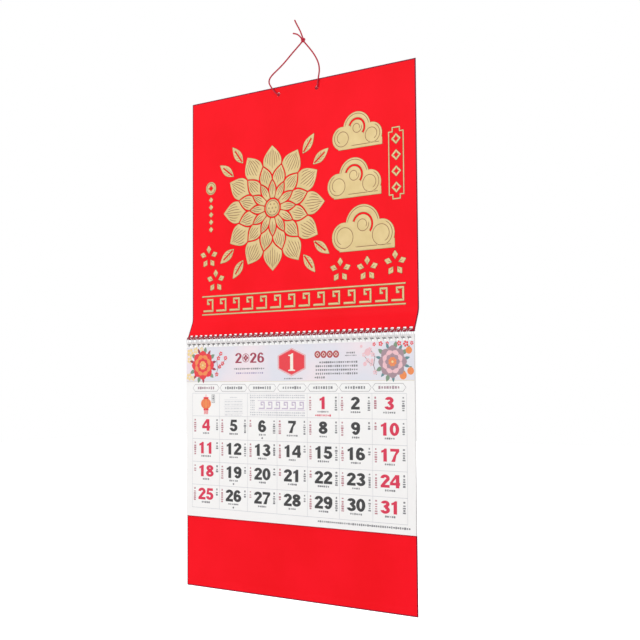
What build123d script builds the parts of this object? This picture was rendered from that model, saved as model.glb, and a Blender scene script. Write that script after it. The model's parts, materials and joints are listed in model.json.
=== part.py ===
from build123d import *
import math
import os

# Wall calendar. A printed top board hangs from a red string. Its bent lower edge is bound by one
# twin-loop wire to a pad of month pages and to a back board that shows below the pages.
# Millimetres, X to the right, Z up, and the front faces -Y.
# The origin is where a nail carries the string, in the fork under its knot.

# Boards and pages, all of one width
board_width = 350.0
board_thickness = 0.6
board_centre_x = -13.4
pad_thickness = 1.3
pad_height = 230.0
back_board_height = 322.4

# Hanging: how far the top board's edge lies under the nail, and the string's holes in it
hang_height = 48.0
string_diameter = 1.8
string_sides = 6
string_clearance = 0.1
string_hole_diameter = 5.0
string_hole_right = (32.7, -11.5)
string_hole_left = (-27.1, -10.0)

# Binding: a ring axis under the top board, and the bent flap that reaches it
ring_drop = 326.0
flap_forward = 12.0
flap_angle = 66.0
bend_radius = 22.0
loop_pitch = 25.4 / 3
loop_margin = 1.2
loop_radius = 5.45
wire_diameter = 0.9
strand_half_gap = 1.4
strand_steps = 6
root_angle = 28.0
tip_angle = -312.0

# Punched holes, measured from the ring axis, and where each edge stops short of it
punch_size = 4.4
punch_centre = 6.1
flap_edge = 1.9
pad_edge = 1.95
back_board_edge = 1.6
layer_gap = 0.1

# Print and foil stand this far proud of the card
foil_height = 0.5
print_height = 0.08

# Foil flower on the top board: a round core, then rings of pointed petals, each ring half a step on.
# A ring's two sizes are how far out its petals are widest, and their length.
flower_centre = (-38.0, -157.0)
flower_core_radius = 11.5
petal_count = 12
petal_rings = ((23.5, 30.0), (40.0, 38.0), (61.0, 48.0))
petal_belly = 0.56
petal_steps = 6
petal_gap = 1.7

# Pairs of leaves at the flower's four corners
leaf_length = 31.0
leaf_width = 13.0
leaf_vein = 1.5
leaf_root = 80.0
leaf_corners = (45.0, 135.0, 225.0, 315.0)
leaf_spread = 8.0

# Clouds beside the flower: centre and width of each
cloud_places = ((92.0, -82.0, 74.0), (87.0, -141.0, 80.0), (99.0, -205.0, 92.0))
cloud_groove = 2.2

# Key border along the foot of the picture
border_margin = 15.0
key_gap = 4.6
key_size = 18.0
key_line = 3.2
border_foot = -292.0
rail_height = 2.4
rail_gap = 2.0

# Small blossoms of lozenge petals
blossom_petals = 5
blossom_petal_size = (8.6, 12.4)
blossom_eye = 2.0
blossom_places = ((-146.0, -213.0), (-134.0, -246.0), (66.0, -245.0), (105.0, -246.0), (144.0, -242.0))

# Upright cartouche at the right and the pendant at the left
cartouche_centre = (147.0, -122.0)
cartouche_size = (22.0, 88.0)
cartouche_line = 2.0
cartouche_notch = 5.0
cartouche_lozenges = 4
pendant_centre = (-142.0, -120.0)
pendant_disc_radius = 9.0
pendant_lozenge = 8.5
pendant_lozenges = 5
lozenge_gap = 1.6

# Print on the top page
banner_margin = 0.6
banner_height = 52.8
badge_size = (43.0, 35.5)
badge_drop = 29.0
badge_frame = 2.4
badge_corner = 0.26
spray_petal_size = (8.0, 17.0)
spray_eye = 2.0
spray_drop = 31.0
spray_inset = 29.0
spray_petals = 8
weekday_drop = 61.0
weekday_size = (46.0, 9.6)
weekday_point = 3.7
page_side_margin = 10.85
row_pitch = 30.1
grid_foot_drop = 218.4
grid_line = 0.5
row_count = 5
column_count = 7
picture_size = (20.0, 24.0)

# Places worked out from the sizes above
loop_count = int((board_width - 2 * loop_margin) / loop_pitch)
column_pitch = (board_width - 2 * page_side_margin) / column_count
board_front_y = string_diameter / 2 + string_clearance
board_middle_y = board_front_y + board_thickness / 2
ring_y = board_middle_y - flap_forward
ring_z = -hang_height - ring_drop
pad_front_y = ring_y - pad_thickness / 2
pad_top_z = ring_z - pad_edge
back_board_front_y = ring_y + pad_thickness / 2 + layer_gap
back_board_top_z = ring_z - back_board_edge
board_face = Plane((board_centre_x, board_front_y, -hang_height), x_dir=(1, 0, 0), z_dir=(0, -1, 0))
page_face = Plane((board_centre_x, pad_front_y, pad_top_z), x_dir=(1, 0, 0), z_dir=(0, -1, 0))


def loop_places():
    """X of each twin loop's middle."""
    first = board_centre_x - loop_pitch * (loop_count - 1) / 2
    return [first + loop_pitch * index for index in range(loop_count)]


def ring_point(radius, angle):
    """Y and Z at a radius from the ring axis. The angle runs from +Y towards +Z."""
    turn = math.radians(angle)
    return ring_y + radius * math.cos(turn), ring_z + radius * math.sin(turn)


def punches(angle):
    """Square cutters for one row of holes in a sheet that points away from the ring axis."""
    y, z = ring_point(punch_centre, angle)
    turn = math.radians(angle)
    across = Vector(0, math.sin(turn), -math.cos(turn))
    depth = 4 * (pad_thickness + board_thickness)
    cutters = []
    for x in loop_places():
        place = Plane((x, y, z), x_dir=(1, 0, 0), z_dir=across)
        cutters.append(place * Box(punch_size, punch_size, depth))
    return cutters


# Top board
def bent_layer(thickness, behind):
    """Layer with the top board's bend: down the wall, then forward to point at the ring axis.
    Its middle lies the given distance behind the board's own middle."""
    foot = ring_point(flap_edge, flap_angle)
    bend = ring_point(flap_forward / math.cos(math.radians(flap_angle)), flap_angle)
    path = FilletPolyline((board_centre_x, *foot), (board_centre_x, *bend),
                          (board_centre_x, board_middle_y, -hang_height), radius=bend_radius)
    start = Plane(path @ 0, x_dir=(1, 0, 0), z_dir=path % 0)
    return sweep(start * Pos(0, behind) * Rectangle(board_width, thickness), path=path)


def top_board():
    board = bent_layer(board_thickness, 0) - punches(flap_angle)
    for x, z in (string_hole_right, string_hole_left):
        hole = board_face * Pos(x, z, 0) * Cylinder(string_hole_diameter / 2, 6 * board_thickness)
        board -= hole
    return board


# Back board and pages
def hanging_sheet(front_y, top_z, width, height, thickness):
    """Sheet that hangs from the wire, with its row of square holes."""
    middle = (board_centre_x, front_y + thickness / 2, top_z - height / 2)
    sheet = Pos(*middle) * Box(width, thickness, height)
    return sheet - punches(-90.0)


def back_board():
    return hanging_sheet(back_board_front_y, back_board_top_z, board_width,
                         back_board_height, board_thickness)


def month_pages():
    return hanging_sheet(pad_front_y, pad_top_z, board_width, pad_height, pad_thickness)


# Twin-loop wire
def strand(x, angles):
    return [Vector(x, *ring_point(loop_radius, angle)) for angle in angles]


def wire_route():
    """The wire's corners: round one strand of a loop to its tip, back round the other, on to the next."""
    step = (root_angle - tip_angle) / strand_steps
    angles = [root_angle - step * index for index in range(strand_steps + 1)]
    route = []
    for x in loop_places():
        route += strand(x - strand_half_gap, angles)
        route += strand(x + strand_half_gap, reversed(angles))
    return route


def mitred_bar(route, diameter):
    """Four-sided bar along a route of straight runs, with each corner mitred."""
    runs = [(end - start).normalized() for start, end in zip(route, route[1:])]
    side = runs[0].cross(Vector(0, 0, 1)).normalized()
    lift = side.cross(runs[0])
    reach = diameter / 2 * math.sqrt(math.pi / 2)
    ring = [route[0] + (side * math.cos(turn) + lift * math.sin(turn)) * reach
            for turn in (0, math.pi / 2, math.pi, 3 * math.pi / 2)]
    rings = [ring]
    for index, run in enumerate(runs):
        corner = route[index + 1]
        after = runs[index + 1] if index + 1 < len(runs) else run
        mitre = (run + after).normalized()
        ring = [point + run * ((corner - point).dot(mitre) / run.dot(mitre)) for point in ring]
        rings.append(ring)
    faces = [Face(Wire.make_polygon(rings[0])), Face(Wire.make_polygon(rings[-1]))]
    for start, end in zip(rings, rings[1:]):
        for first in range(4):
            second = (first + 1) % 4
            corners = [start[first], start[second], end[second], end[first]]
            faces.append(Face(Wire.make_polygon(corners)))
    bar = Solid(Shell(faces))
    return bar if bar.volume > 0 else -bar


def binding_wire():
    return mitred_bar(wire_route(), wire_diameter)


# Shapes for foil and print
def petal(length, width, belly):
    """Pointed petal up the Y axis from a root at the origin, widest at its belly.
    Each side is half a wave, from root to belly and from there to the tip."""
    side = []
    for step in range(1, petal_steps):
        share = 2 * step / petal_steps
        height = belly * share if share < 1 else belly + (length - belly) * (share - 1)
        side.append((width / 2 * math.sin(math.pi / 2 * share), height))
    back = [(-across, height) for across, height in reversed(side)]
    return make_face(Polyline((0, 0), *side, (0, length), *back, close=True))


def leaf(length, width):
    """Pointed leaf with a slit for its middle vein."""
    vein = Pos(0, length * 0.42) * Rectangle(leaf_vein, length * 0.62)
    return petal(length, width, length * 0.45) - vein


def lozenge(width, height):
    corners = [(0, height / 2), (width / 2, 0), (0, -height / 2), (-width / 2, 0)]
    return make_face(Polyline(*corners, close=True))


def arc_band(radius, width, start, turn):
    """Flat band of constant width along an arc about the origin."""
    outer = CenterArc((0, 0), radius + width / 2, start, turn)
    inner = CenterArc((0, 0), radius - width / 2, start, turn)
    return make_face([outer, inner, Line(outer @ 0, inner @ 0), Line(outer @ 1, inner @ 1)])


def notched_rectangle(width, height, notch):
    """Rectangle with its four corners cut square."""
    corners = [Pos(sx * width / 2, sy * height / 2) * Rectangle(2 * notch, 2 * notch)
               for sx in (-1, 1) for sy in (-1, 1)]
    return Rectangle(width, height) - corners


def pointed_label(width, height, point):
    """Label with a point at each end."""
    corners = [(-width / 2, 0), (-width / 2 + point, height / 2), (width / 2 - point, height / 2),
               (width / 2, 0), (width / 2 - point, -height / 2), (-width / 2 + point, -height / 2)]
    return make_face(Polyline(*corners, close=True))


def pressed(face_plane, flat, height):
    """Raise a flat drawing from a face. The result is one node of separate solids."""
    raised = [extrude(face_plane * face, amount=height) for face in flat]
    return Compound(children=[solid for item in raised for solid in item.solids()])


def ink(flat, under=0.0):
    """Print on the top page, on the paper or on a layer of print under it."""
    return pressed(page_face.offset(under), flat, print_height)


# Foil picture on the top board
def ring_petal(ring, margin):
    """One petal of a ring, above the flower's middle, larger all round by a margin."""
    middle, length = petal_rings[ring]
    width = 2 * (middle * math.sin(math.pi / petal_count) - petal_gap / 2 + margin)
    belly = length * petal_belly + margin
    return Pos(0, middle - belly) * petal(length + 2 * margin, width, belly)


def flower():
    """Round core and rings of petals. Each petal tucks in behind the ring inside it, with a gap."""
    flat = [RegularPolygon(flower_core_radius, petal_count)]
    inside = [RegularPolygon(flower_core_radius + petal_gap, petal_count)]
    step = 360.0 / petal_count
    for ring in range(len(petal_rings)):
        shown = ring_petal(ring, 0.0) - inside
        start = step / 2 * (ring % 2)
        flat += [Rot(0, 0, start + step * number) * shown for number in range(petal_count)]
        inside = [Rot(0, 0, side * step / 2) * ring_petal(ring, petal_gap) for side in (-1, 1)]
    return [Pos(*flower_centre) * face for face in flat]


def leaves():
    upright = Pos(0, leaf_root) * leaf(leaf_length, leaf_width)
    turns = [corner + side * leaf_spread for corner in leaf_corners for side in (-1, 1)]
    return [Pos(*flower_centre) * Rot(0, 0, turn - 90) * upright for turn in turns]


def cloud(width):
    """Cloud head of three lobes on a flat tail, with a curl cut into its middle lobe."""
    side = width * 0.2
    middle = width * 0.27
    tail = width * 0.13
    body = Pos(0, middle * 0.55) * Circle(middle)
    body += Pos(-width * 0.29, 0) * Circle(side)
    body += Pos(width * 0.29, 0) * Circle(side)
    body += Pos(width * 0.06, -side + tail / 2) * Rectangle(width * 0.86, tail)
    return body - Pos(0, middle * 0.55) * arc_band(middle * 0.55, cloud_groove, -40, 200)


def clouds():
    return [Pos(x, z) * cloud(width) for x, z, width in cloud_places]


def lozenge_star(count, size, eye):
    """Ring of lozenge petals that leave a small eye open."""
    width, height = size
    return [Rot(0, 0, 360.0 * number / count) * Pos(0, eye + height / 2) * lozenge(width, height)
            for number in range(count)]


def blossoms():
    star = lozenge_star(blossom_petals, blossom_petal_size, blossom_eye + blossom_petal_size[0] / 4)
    return [Pos(*place) * petal_face for place in blossom_places for petal_face in star]


def key(size, line):
    """Square spiral of one line, as in a key border."""
    half = size / 2
    step = 2 * line
    return make_face(Polyline(
        (-half, -half), (half, -half), (half, half), (-half + step, half),
        (-half + step, -half + step + line), (half - step, -half + step + line),
        (half - step, -half + step + 2 * line), (-half + step + line, -half + step + 2 * line),
        (-half + step + line, half - line), (half - line, half - line),
        (half - line, -half + line), (-half, -half + line), close=True))


def key_border():
    """Row of square spirals between two rails."""
    pitch = key_size + key_gap
    count = int((board_width - 2 * border_margin) / pitch)
    foot_rail = border_foot + rail_height / 2
    keys = border_foot + rail_height + rail_gap + key_size / 2
    head_rail = keys + key_size / 2 + rail_gap + rail_height / 2
    flat = [Pos(0, z) * Rectangle(pitch * count, rail_height) for z in (foot_rail, head_rail)]
    for number in range(count):
        x = pitch * (number - (count - 1) / 2)
        flat.append(Pos(x, keys) * key(key_size, key_line))
    return flat


def cartouche():
    width, height = cartouche_size
    inner = 2 * cartouche_line
    frame = notched_rectangle(width, height, cartouche_notch)
    frame -= notched_rectangle(width - inner, height - inner, cartouche_notch)
    pitch = (height - 2 * cartouche_notch) / cartouche_lozenges
    size = min(pitch - 2 * lozenge_gap - cartouche_line, width - 3 * cartouche_line)
    flat = [frame]
    for number in range(cartouche_lozenges):
        z = pitch * (number - (cartouche_lozenges - 1) / 2)
        flat.append(Pos(0, z) * lozenge(size, size))
    return [Pos(*cartouche_centre) * face for face in flat]


def pendant():
    """Disc with a square eye, over a chain of lozenges."""
    pitch = pendant_lozenge + lozenge_gap
    eye = lozenge(pendant_disc_radius * 0.8, pendant_disc_radius * 0.8)
    flat = [Circle(pendant_disc_radius) - eye]
    for number in range(pendant_lozenges):
        z = -pendant_disc_radius - lozenge_gap - pitch * (number + 0.5)
        flat.append(Pos(0, z) * lozenge(pendant_lozenge, pendant_lozenge))
    return [Pos(*pendant_centre) * face for face in flat]


def foil_picture():
    flat = flower() + leaves() + clouds() + blossoms() + key_border() + cartouche() + pendant()
    return pressed(board_face, flat, foil_height)


# Print on the top page
def banner_field():
    """Pale field across the head of the page, below the punched holes and clear of the badge."""
    holes_end = punch_centre - pad_edge + punch_size / 2 + banner_margin
    field = Pos(0, -(holes_end + banner_height) / 2) * Rectangle(
        board_width - 2 * banner_margin, banner_height - holes_end)
    return ink([field - Pos(0, -badge_drop) * badge_outline(badge_size)])


def badge_outline(size):
    """Six-sided badge outline with upright sides."""
    width, height = size
    shoulder = height * badge_corner
    corners = [(0, height / 2), (width / 2, height / 2 - shoulder), (width / 2, -height / 2 + shoulder),
               (0, -height / 2), (-width / 2, -height / 2 + shoulder), (-width / 2, height / 2 - shoulder)]
    return make_face(Polyline(*corners, close=True))


def month_badge():
    width, height = badge_size
    middle = badge_outline((width - 2 * badge_frame, height - 2 * badge_frame))
    return ink([Pos(0, -badge_drop) * middle])


def badge_border():
    width, height = badge_size
    middle = badge_outline((width - 2 * badge_frame, height - 2 * badge_frame))
    return ink([Pos(0, -badge_drop) * (badge_outline(badge_size) - middle)])


def banner_sprays():
    """One flower at each end of the banner, printed over its pale field."""
    star = lozenge_star(spray_petals, spray_petal_size, spray_eye)
    reach = board_width / 2 - spray_inset
    flat = [Pos(side * reach, -spray_drop) * face for side in (-1, 1) for face in star]
    return ink(flat, under=print_height)


def weekday_labels():
    flat = []
    for column in range(column_count):
        x = column_pitch * (column - (column_count - 1) / 2)
        flat.append(Pos(x, -weekday_drop) * pointed_label(*weekday_size, weekday_point))
    return ink(flat)


def rule_places():
    """Heights of the rules over, between and under the rows of days, from the foot up."""
    return [-grid_foot_drop + row_pitch * row for row in range(row_count + 1)]


def row_rules():
    return ink([Pos(0, z) * Rectangle(column_pitch * column_count, grid_line) for z in rule_places()])


def first_row_picture():
    """Small coloured field in the empty first cell of the top row."""
    x = -column_pitch * (column_count - 1) / 2
    z = sum(rule_places()[-2:]) / 2
    return ink([Pos(x, z) * Rectangle(*picture_size)])


# String
def string_point(x, y, z):
    """A place given from the middle of the top board's upper edge."""
    return Vector(x + board_centre_x, y, z - hang_height)


def in_hole(hole):
    """The middle of a string hole, halfway through the card."""
    return string_point(hole[0], board_middle_y, hole[1])


def string_tube(name, points):
    """Round tube on straight runs and tangent arcs, each arc as large as its two runs allow."""
    radii = []
    for before, corner, after in zip(points, points[1:], points[2:]):
        turn = math.radians((corner - before).get_angle(after - corner))
        shorter = min((corner - before).length, (after - corner).length)
        radii.append(0.45 * shorter / math.tan(turn / 2))
    path = FilletPolyline(*points, radius=radii)
    section = Plane(path @ 0, z_dir=path % 0) * RegularPolygon(string_diameter / 2, string_sides)
    tube = sweep(section, path=path)
    expected = section.area * path.length
    print(name, "length", round(path.length, 1), "volume share", round(tube.volume / expected, 4),
          "radii", [round(radius, 1) for radius in radii])
    return tube


right_leg_route = [in_hole(string_hole_right),
                   string_point(35.25, -1.1, -10.75), string_point(35.1, -0.6, -5.6),
                   string_point(36.4, -0.1, 1.5), string_point(37.9, 0.1, 10.5),
                   string_point(36.6, 0.0, 19.6), string_point(30.9, -0.2, 30.6),
                   string_point(23.4, -0.1, 40.4), string_point(13.8, 0.0, 51.6)]
left_leg_route = [in_hole(string_hole_left),
                  string_point(-29.65, -1.1, -9.1), string_point(-33.5, -0.7, -4.6),
                  string_point(-38.6, -0.2, 1.3), string_point(-42.4, 0.0, 7.6),
                  string_point(-41.2, 0.2, 13.2), string_point(-35.4, 0.2, 18.1),
                  string_point(-26.9, 0.0, 22.8), string_point(-16.8, -0.1, 29.4),
                  string_point(-6.0, -0.1, 38.2), string_point(4.3, 0.0, 46.0),
                  string_point(12.0, 0.0, 52.0)]
long_tail_route = [string_point(13.0, 0.2, 54.2), string_point(10.6, 0.2, 61.0),
                   string_point(7.4, 0.0, 68.4), string_point(3.2, -0.2, 75.6),
                   string_point(0.0, -0.2, 82.0)]
short_tail_route = [string_point(11.8, -0.4, 54.6), string_point(7.6, -0.6, 59.8),
                    string_point(3.0, -0.6, 63.4), string_point(-2.6, -0.4, 65.0)]
back_run_route = [in_hole(string_hole_left),
                  string_point(-25.4, 2.9, -10.6), string_point(-18.6, 2.9, -12.0),
                  string_point(-5.0, 2.7, -14.0), string_point(10.0, 2.7, -14.6),
                  string_point(24.0, 2.9, -13.2), string_point(31.0, 2.9, -12.0),
                  in_hole(string_hole_right)]
knot_centre = string_point(12.9, 0.0, 53.4)
knot_radius = 3.0
knot_height = 6.6
knot_edge = 1.4


def string_knot():
    """Tight overhand knot, kept as one plain chamfered bead."""
    bead = extrude(RegularPolygon(knot_radius, string_sides), amount=knot_height / 2, both=True)
    ends = bead.edges().filter_by(GeomType.LINE).filter_by(Plane.XY)
    return Location(knot_centre) * chamfer(ends, knot_edge)


def string_nodes():
    knot = string_knot()
    right_leg = string_tube("right leg", right_leg_route) - knot
    left_leg = string_tube("left leg", left_leg_route) - knot
    long_tail = string_tube("long tail", long_tail_route) - knot
    short_tail = string_tube("short tail", short_tail_route) - knot
    back_run = string_tube("back run", back_run_route)
    return {"string_right_leg": right_leg, "string_left_leg": left_leg,
            "string_long_tail": long_tail, "string_short_tail": short_tail,
            "string_back_run": back_run, "string_knot": knot}


nodes = {
    "top_board": top_board(),
    "foil_picture": foil_picture(),
    "back_board": back_board(),
    "month_pages": month_pages(),
    "banner_field": banner_field(),
    "month_badge": month_badge(),
    "badge_border": badge_border(),
    "banner_sprays": banner_sprays(),
    "weekday_labels": weekday_labels(),
    "row_rules": row_rules(),
    "first_row_picture": first_row_picture(),
    "binding_wire": binding_wire(),
}
nodes.update(string_nodes())

os.makedirs("parts", exist_ok=True)
for name, shape in nodes.items():
    export_step(shape, os.path.join("parts", name + ".step"))
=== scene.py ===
# Wall calendar hung by a red string: its looks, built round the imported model.
# Flat drawings are in millimetres on a sheet's face: X to the right, Y up, and Z out of the sheet,
# from the middle of the sheet's upper edge. Everything placed in the scene is in metres.
import json
import math
import random

import bmesh
import bpy
import numpy as np
from mathutils import Matrix, Vector
from mathutils.geometry import delaunay_2d_cdt

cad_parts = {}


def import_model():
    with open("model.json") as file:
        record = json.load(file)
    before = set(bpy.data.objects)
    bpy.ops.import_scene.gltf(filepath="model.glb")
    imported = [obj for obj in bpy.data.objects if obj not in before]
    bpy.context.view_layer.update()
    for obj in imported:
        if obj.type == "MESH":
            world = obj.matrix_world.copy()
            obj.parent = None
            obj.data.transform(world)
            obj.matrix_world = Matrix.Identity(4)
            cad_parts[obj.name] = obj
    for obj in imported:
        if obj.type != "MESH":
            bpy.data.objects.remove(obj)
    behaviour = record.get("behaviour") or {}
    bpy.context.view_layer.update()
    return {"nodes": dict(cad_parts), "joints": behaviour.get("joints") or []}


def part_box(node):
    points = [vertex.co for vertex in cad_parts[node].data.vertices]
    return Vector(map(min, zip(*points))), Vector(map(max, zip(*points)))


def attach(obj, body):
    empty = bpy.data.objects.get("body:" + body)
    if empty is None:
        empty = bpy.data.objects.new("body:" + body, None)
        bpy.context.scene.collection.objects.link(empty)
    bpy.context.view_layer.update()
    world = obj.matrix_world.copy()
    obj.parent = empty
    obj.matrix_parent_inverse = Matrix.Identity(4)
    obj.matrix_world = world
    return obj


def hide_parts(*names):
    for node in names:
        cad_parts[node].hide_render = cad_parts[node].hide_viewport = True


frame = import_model()

MM = 0.001

# Sheets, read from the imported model
board_low, board_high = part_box("top_board")
page_low, page_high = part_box("month_pages")
back_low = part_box("back_board")[0]
foil_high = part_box("foil_picture")[1]
hinge = Vector(frame["joints"][0]["pos_m"])
middle_x = hinge.x
sheet_width = (page_high.x - page_low.x) / MM
pad_thickness = (page_high.y - page_low.y) / MM
pad_height = (page_high.z - page_low.z) / MM

# Top board's foil picture. Seeds are given by radius and count, petals by the radius at their widest and
# by their length, clouds by x, y and width
flower_centre = (-38.0, -157.0)
flower_core = 11.5
flower_seeds = ((0.0, 1), (5.6, 6))
seed_size = 0.9
petal_count = 12
petal_rings = ((23.5, 30.0), (40.0, 38.0), (61.0, 48.0))
petal_belly = 0.56
petal_gap = 1.7
petal_veins = (3, 5, 7)
leaf_size = (31.0, 13.0)
leaf_belly = 0.45
leaf_vein = 1.5
leaf_vein_length = 0.62
leaf_vein_middle = 0.42
leaf_root = 80.0
leaf_corners = (45.0, 135.0, 225.0, 315.0)
leaf_spread = 8.0
leaf_rib_shares = (0.2, 0.34, 0.48)
cloud_places = ((92.0, -82.0, 74.0), (87.0, -141.0, 80.0), (99.0, -205.0, 92.0))
cloud_side_lobe = 0.2
cloud_middle_lobe = 0.27
cloud_tail = 0.13
cloud_aside = 0.29
cloud_rise = 0.55
cloud_groove = 2.2
cloud_curl = 4.2
cloud_line_inset = 2.6
blossom_petals = 5
blossom_petal_size = (8.6, 12.4)
blossom_eye = 4.15
blossom_vein = (1.6, 0.6)
blossom_places = ((-146.0, -213.0), (-134.0, -246.0), (66.0, -245.0), (105.0, -246.0), (144.0, -242.0))
key_size = 18.0
key_line = 3.2
key_pitch = 22.6
key_count = 14
key_middle = -278.6
rail_height = 2.4
rail_heights = (-290.8, -266.4)
cartouche_centre = (147.0, -122.0)
cartouche_size = (22.0, 88.0)
cartouche_line = 2.0
cartouche_notch = 5.0
cartouche_lozenges = 4
cartouche_pitch = 19.5
cartouche_lozenge = 14.3
cartouche_eye = 0.42
pendant_centre = (-142.0, -120.0)
pendant_disc = 9.0
pendant_eye = 0.8
pendant_line_inset = 1.9
pendant_lozenge = 8.5
pendant_lozenges = 5
lozenge_gap = 1.6

# How the foil is pressed: its form, and how fine its mesh is
foil_shoulder = 0.22
foil_shoulder_reach = 0.3
foil_dome = 0.28
foil_dome_reach = 7.0
foil_groove = 0.16
foil_rim = 0.75
foil_mesh = 2.2
foil_mesh_row = 0.87
foil_spacing = 1.1
line_fade = 2.5
rim_clearance = 0.35
line_clearance = 0.3
smooth_angle = 40

# Top page. A drop is measured from its upper edge, and the badge's line runs between two insets
banner_head = 6.95
banner_foot = 52.8
print_margin = 0.3
badge_size = (43.0, 35.5)
badge_drop = 29.0
badge_frame = 2.4
badge_line = (0.6, 1.2)
badge_corner = 0.26
badge_figure = 22.0
label_drop = 61.0
label_size = (46.0, 9.6)
label_point = 3.7
label_line = 0.55
column_count = 7
column_pitch = 46.9
row_count = 5
row_pitch = 30.1
grid_foot = 218.4
grid_head = 67.9
grid_line = 0.5
post_line = 0.35
day_count = 31
first_cell = 4
numeral_drop = 79.6
numeral_height = 15.2
numeral_stroke = (0.285, 0.215)
numeral_width = 1.08
numeral_advance = 0.875
print_height = 0.08
print_layer = 0.03

# Binding wire
loop_pitch = 25.4 / 3
loop_count = 41
loop_radius = 5.45
wire_radius = 0.45
strand_half_gap = 1.4
strand_root = 28.0
strand_tip = -312.0
strand_bend = 1.2

# Punched holes, and the pad of pages
punch_size = 4.4
punch_drop = 4.15
sheet_count = 13
sheet_thickness = 0.07
sheet_stray = 0.9
sheet_rows = 26
sheet_rows_from = 12.0
edge_shade = 0.42
page_curl = 0.9
page_curl_start = 150.0

# Inks of the top page, by the record's slots. Each one's darker tint is the colour times the spread
inks = {
    "red_ink": {"red": (0.80, 0.035, 0.05), "crimson": (0.68, 0.022, 0.075), "wine": (0.34, 0.03, 0.07),
                "brick": (0.44, 0.06, 0.07)},
    "orange_ink": {"orange": (0.86, 0.26, 0.08), "amber": (0.90, 0.45, 0.14), "straw": (0.66, 0.58, 0.42),
                   "yellow": (0.88, 0.66, 0.30)},
    "label_ink": {"rose": (0.72, 0.20, 0.26), "label": (0.38, 0.36, 0.38), "lilac": (0.55, 0.46, 0.60),
                  "mauve": (0.38, 0.26, 0.30), "blush": (0.84, 0.52, 0.56), "dusk": (0.47, 0.21, 0.25),
                  "violet": (0.36, 0.30, 0.48)},
    "grey_ink": {"line": (0.58, 0.58, 0.61), "black": (0.032, 0.032, 0.034), "grey": (0.20, 0.20, 0.215),
                 "pale": (0.58, 0.58, 0.61), "leaf": (0.20, 0.30, 0.20), "twig": (0.16, 0.09, 0.09),
                 "teal": (0.12, 0.26, 0.28)},
    "page_paper": {"cream": (0.90, 0.84, 0.74), "white": (0.905, 0.90, 0.89)}}
ink_spread = 0.95


# Node trees
class Tree:
    """Node tree under construction. Each input is a value or another node's output."""

    def __init__(self, tree):
        self.tree = tree

    def put(self, value, socket):
        if isinstance(value, bpy.types.NodeSocket):
            self.tree.links.new(value, socket)
        elif socket.type == "RGBA":
            socket.default_value = (*value, 1)
        else:
            socket.default_value = value

    def add(self, kind, inputs=None, **settings):
        """New node, with its properties set and its sockets filled."""
        node = self.tree.nodes.new(kind)
        for name, value in settings.items():
            setattr(node, name, value)
        for name, value in (inputs or {}).items():
            self.put(value, node.inputs[name])
        return node

    def maths(self, operation, first, second=0.0):
        return self.add("ShaderNodeMath", {0: first, 1: second}, operation=operation).outputs[0]

    def off(self, value, middle):
        """How far a value is from a middle one."""
        return self.maths("ABSOLUTE", self.maths("SUBTRACT", value, middle))

    def ramp(self, value, start, end, low=0.0, high=1.0, **settings):
        """From low to high as a value goes from start to end."""
        limits = {"Value": value, "From Min": start, "From Max": end, "To Min": low, "To Max": high}
        return self.add("ShaderNodeMapRange", limits, **settings).outputs["Result"]

    def parts(self, vector):
        return self.add("ShaderNodeSeparateXYZ", {0: vector}).outputs

    def vector(self, x=0.0, y=0.0, z=0.0):
        return self.add("ShaderNodeCombineXYZ", {"X": x, "Y": y, "Z": z}).outputs[0]


class Finish(Tree):
    """Material with one shader. Its patterns lie on the piece's own coordinates."""

    def __init__(self, name, colour, roughness, **sockets):
        self.material = bpy.data.materials.new(name)
        self.material.use_nodes = True
        super().__init__(self.material.node_tree)
        self.shader = self.tree.nodes["Principled BSDF"]
        for socket, value in {"Base_Color": colour, "Roughness": roughness, **sockets}.items():
            self.set(socket.replace("_", " "), value)

    def set(self, socket, value):
        self.put(value, self.shader.inputs[socket])

    def place(self):
        return self.add("ShaderNodeTexCoord").outputs["Object"]

    def attribute(self, name):
        return self.add("ShaderNodeAttribute", attribute_name=name).outputs["Fac"]

    def noise(self, scale, detail):
        return self.add("ShaderNodeTexNoise", {"Vector": self.place(), "Scale": scale,
                                               "Detail": detail}).outputs["Fac"]

    def mixed(self, share, first, second):
        """Colour between two others."""
        return self.add("ShaderNodeMix", {0: share, 6: first, 7: second}, data_type="RGBA").outputs[2]

    def speckled(self, colour, other, scale, detail=3.0, low=0.35, high=0.65):
        """Colour that wanders between two tints."""
        return self.mixed(self.ramp(self.noise(scale, detail), low, high), colour, other)

    def grained(self, scale, strength):
        """Fine bump. Gives the finished material."""
        bump = self.add("ShaderNodeBump", {"Height": self.noise(scale, 4.0), "Strength": strength,
                                           "Distance": 0.0001})
        self.set("Normal", bump.outputs["Normal"])
        return self.material


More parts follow.
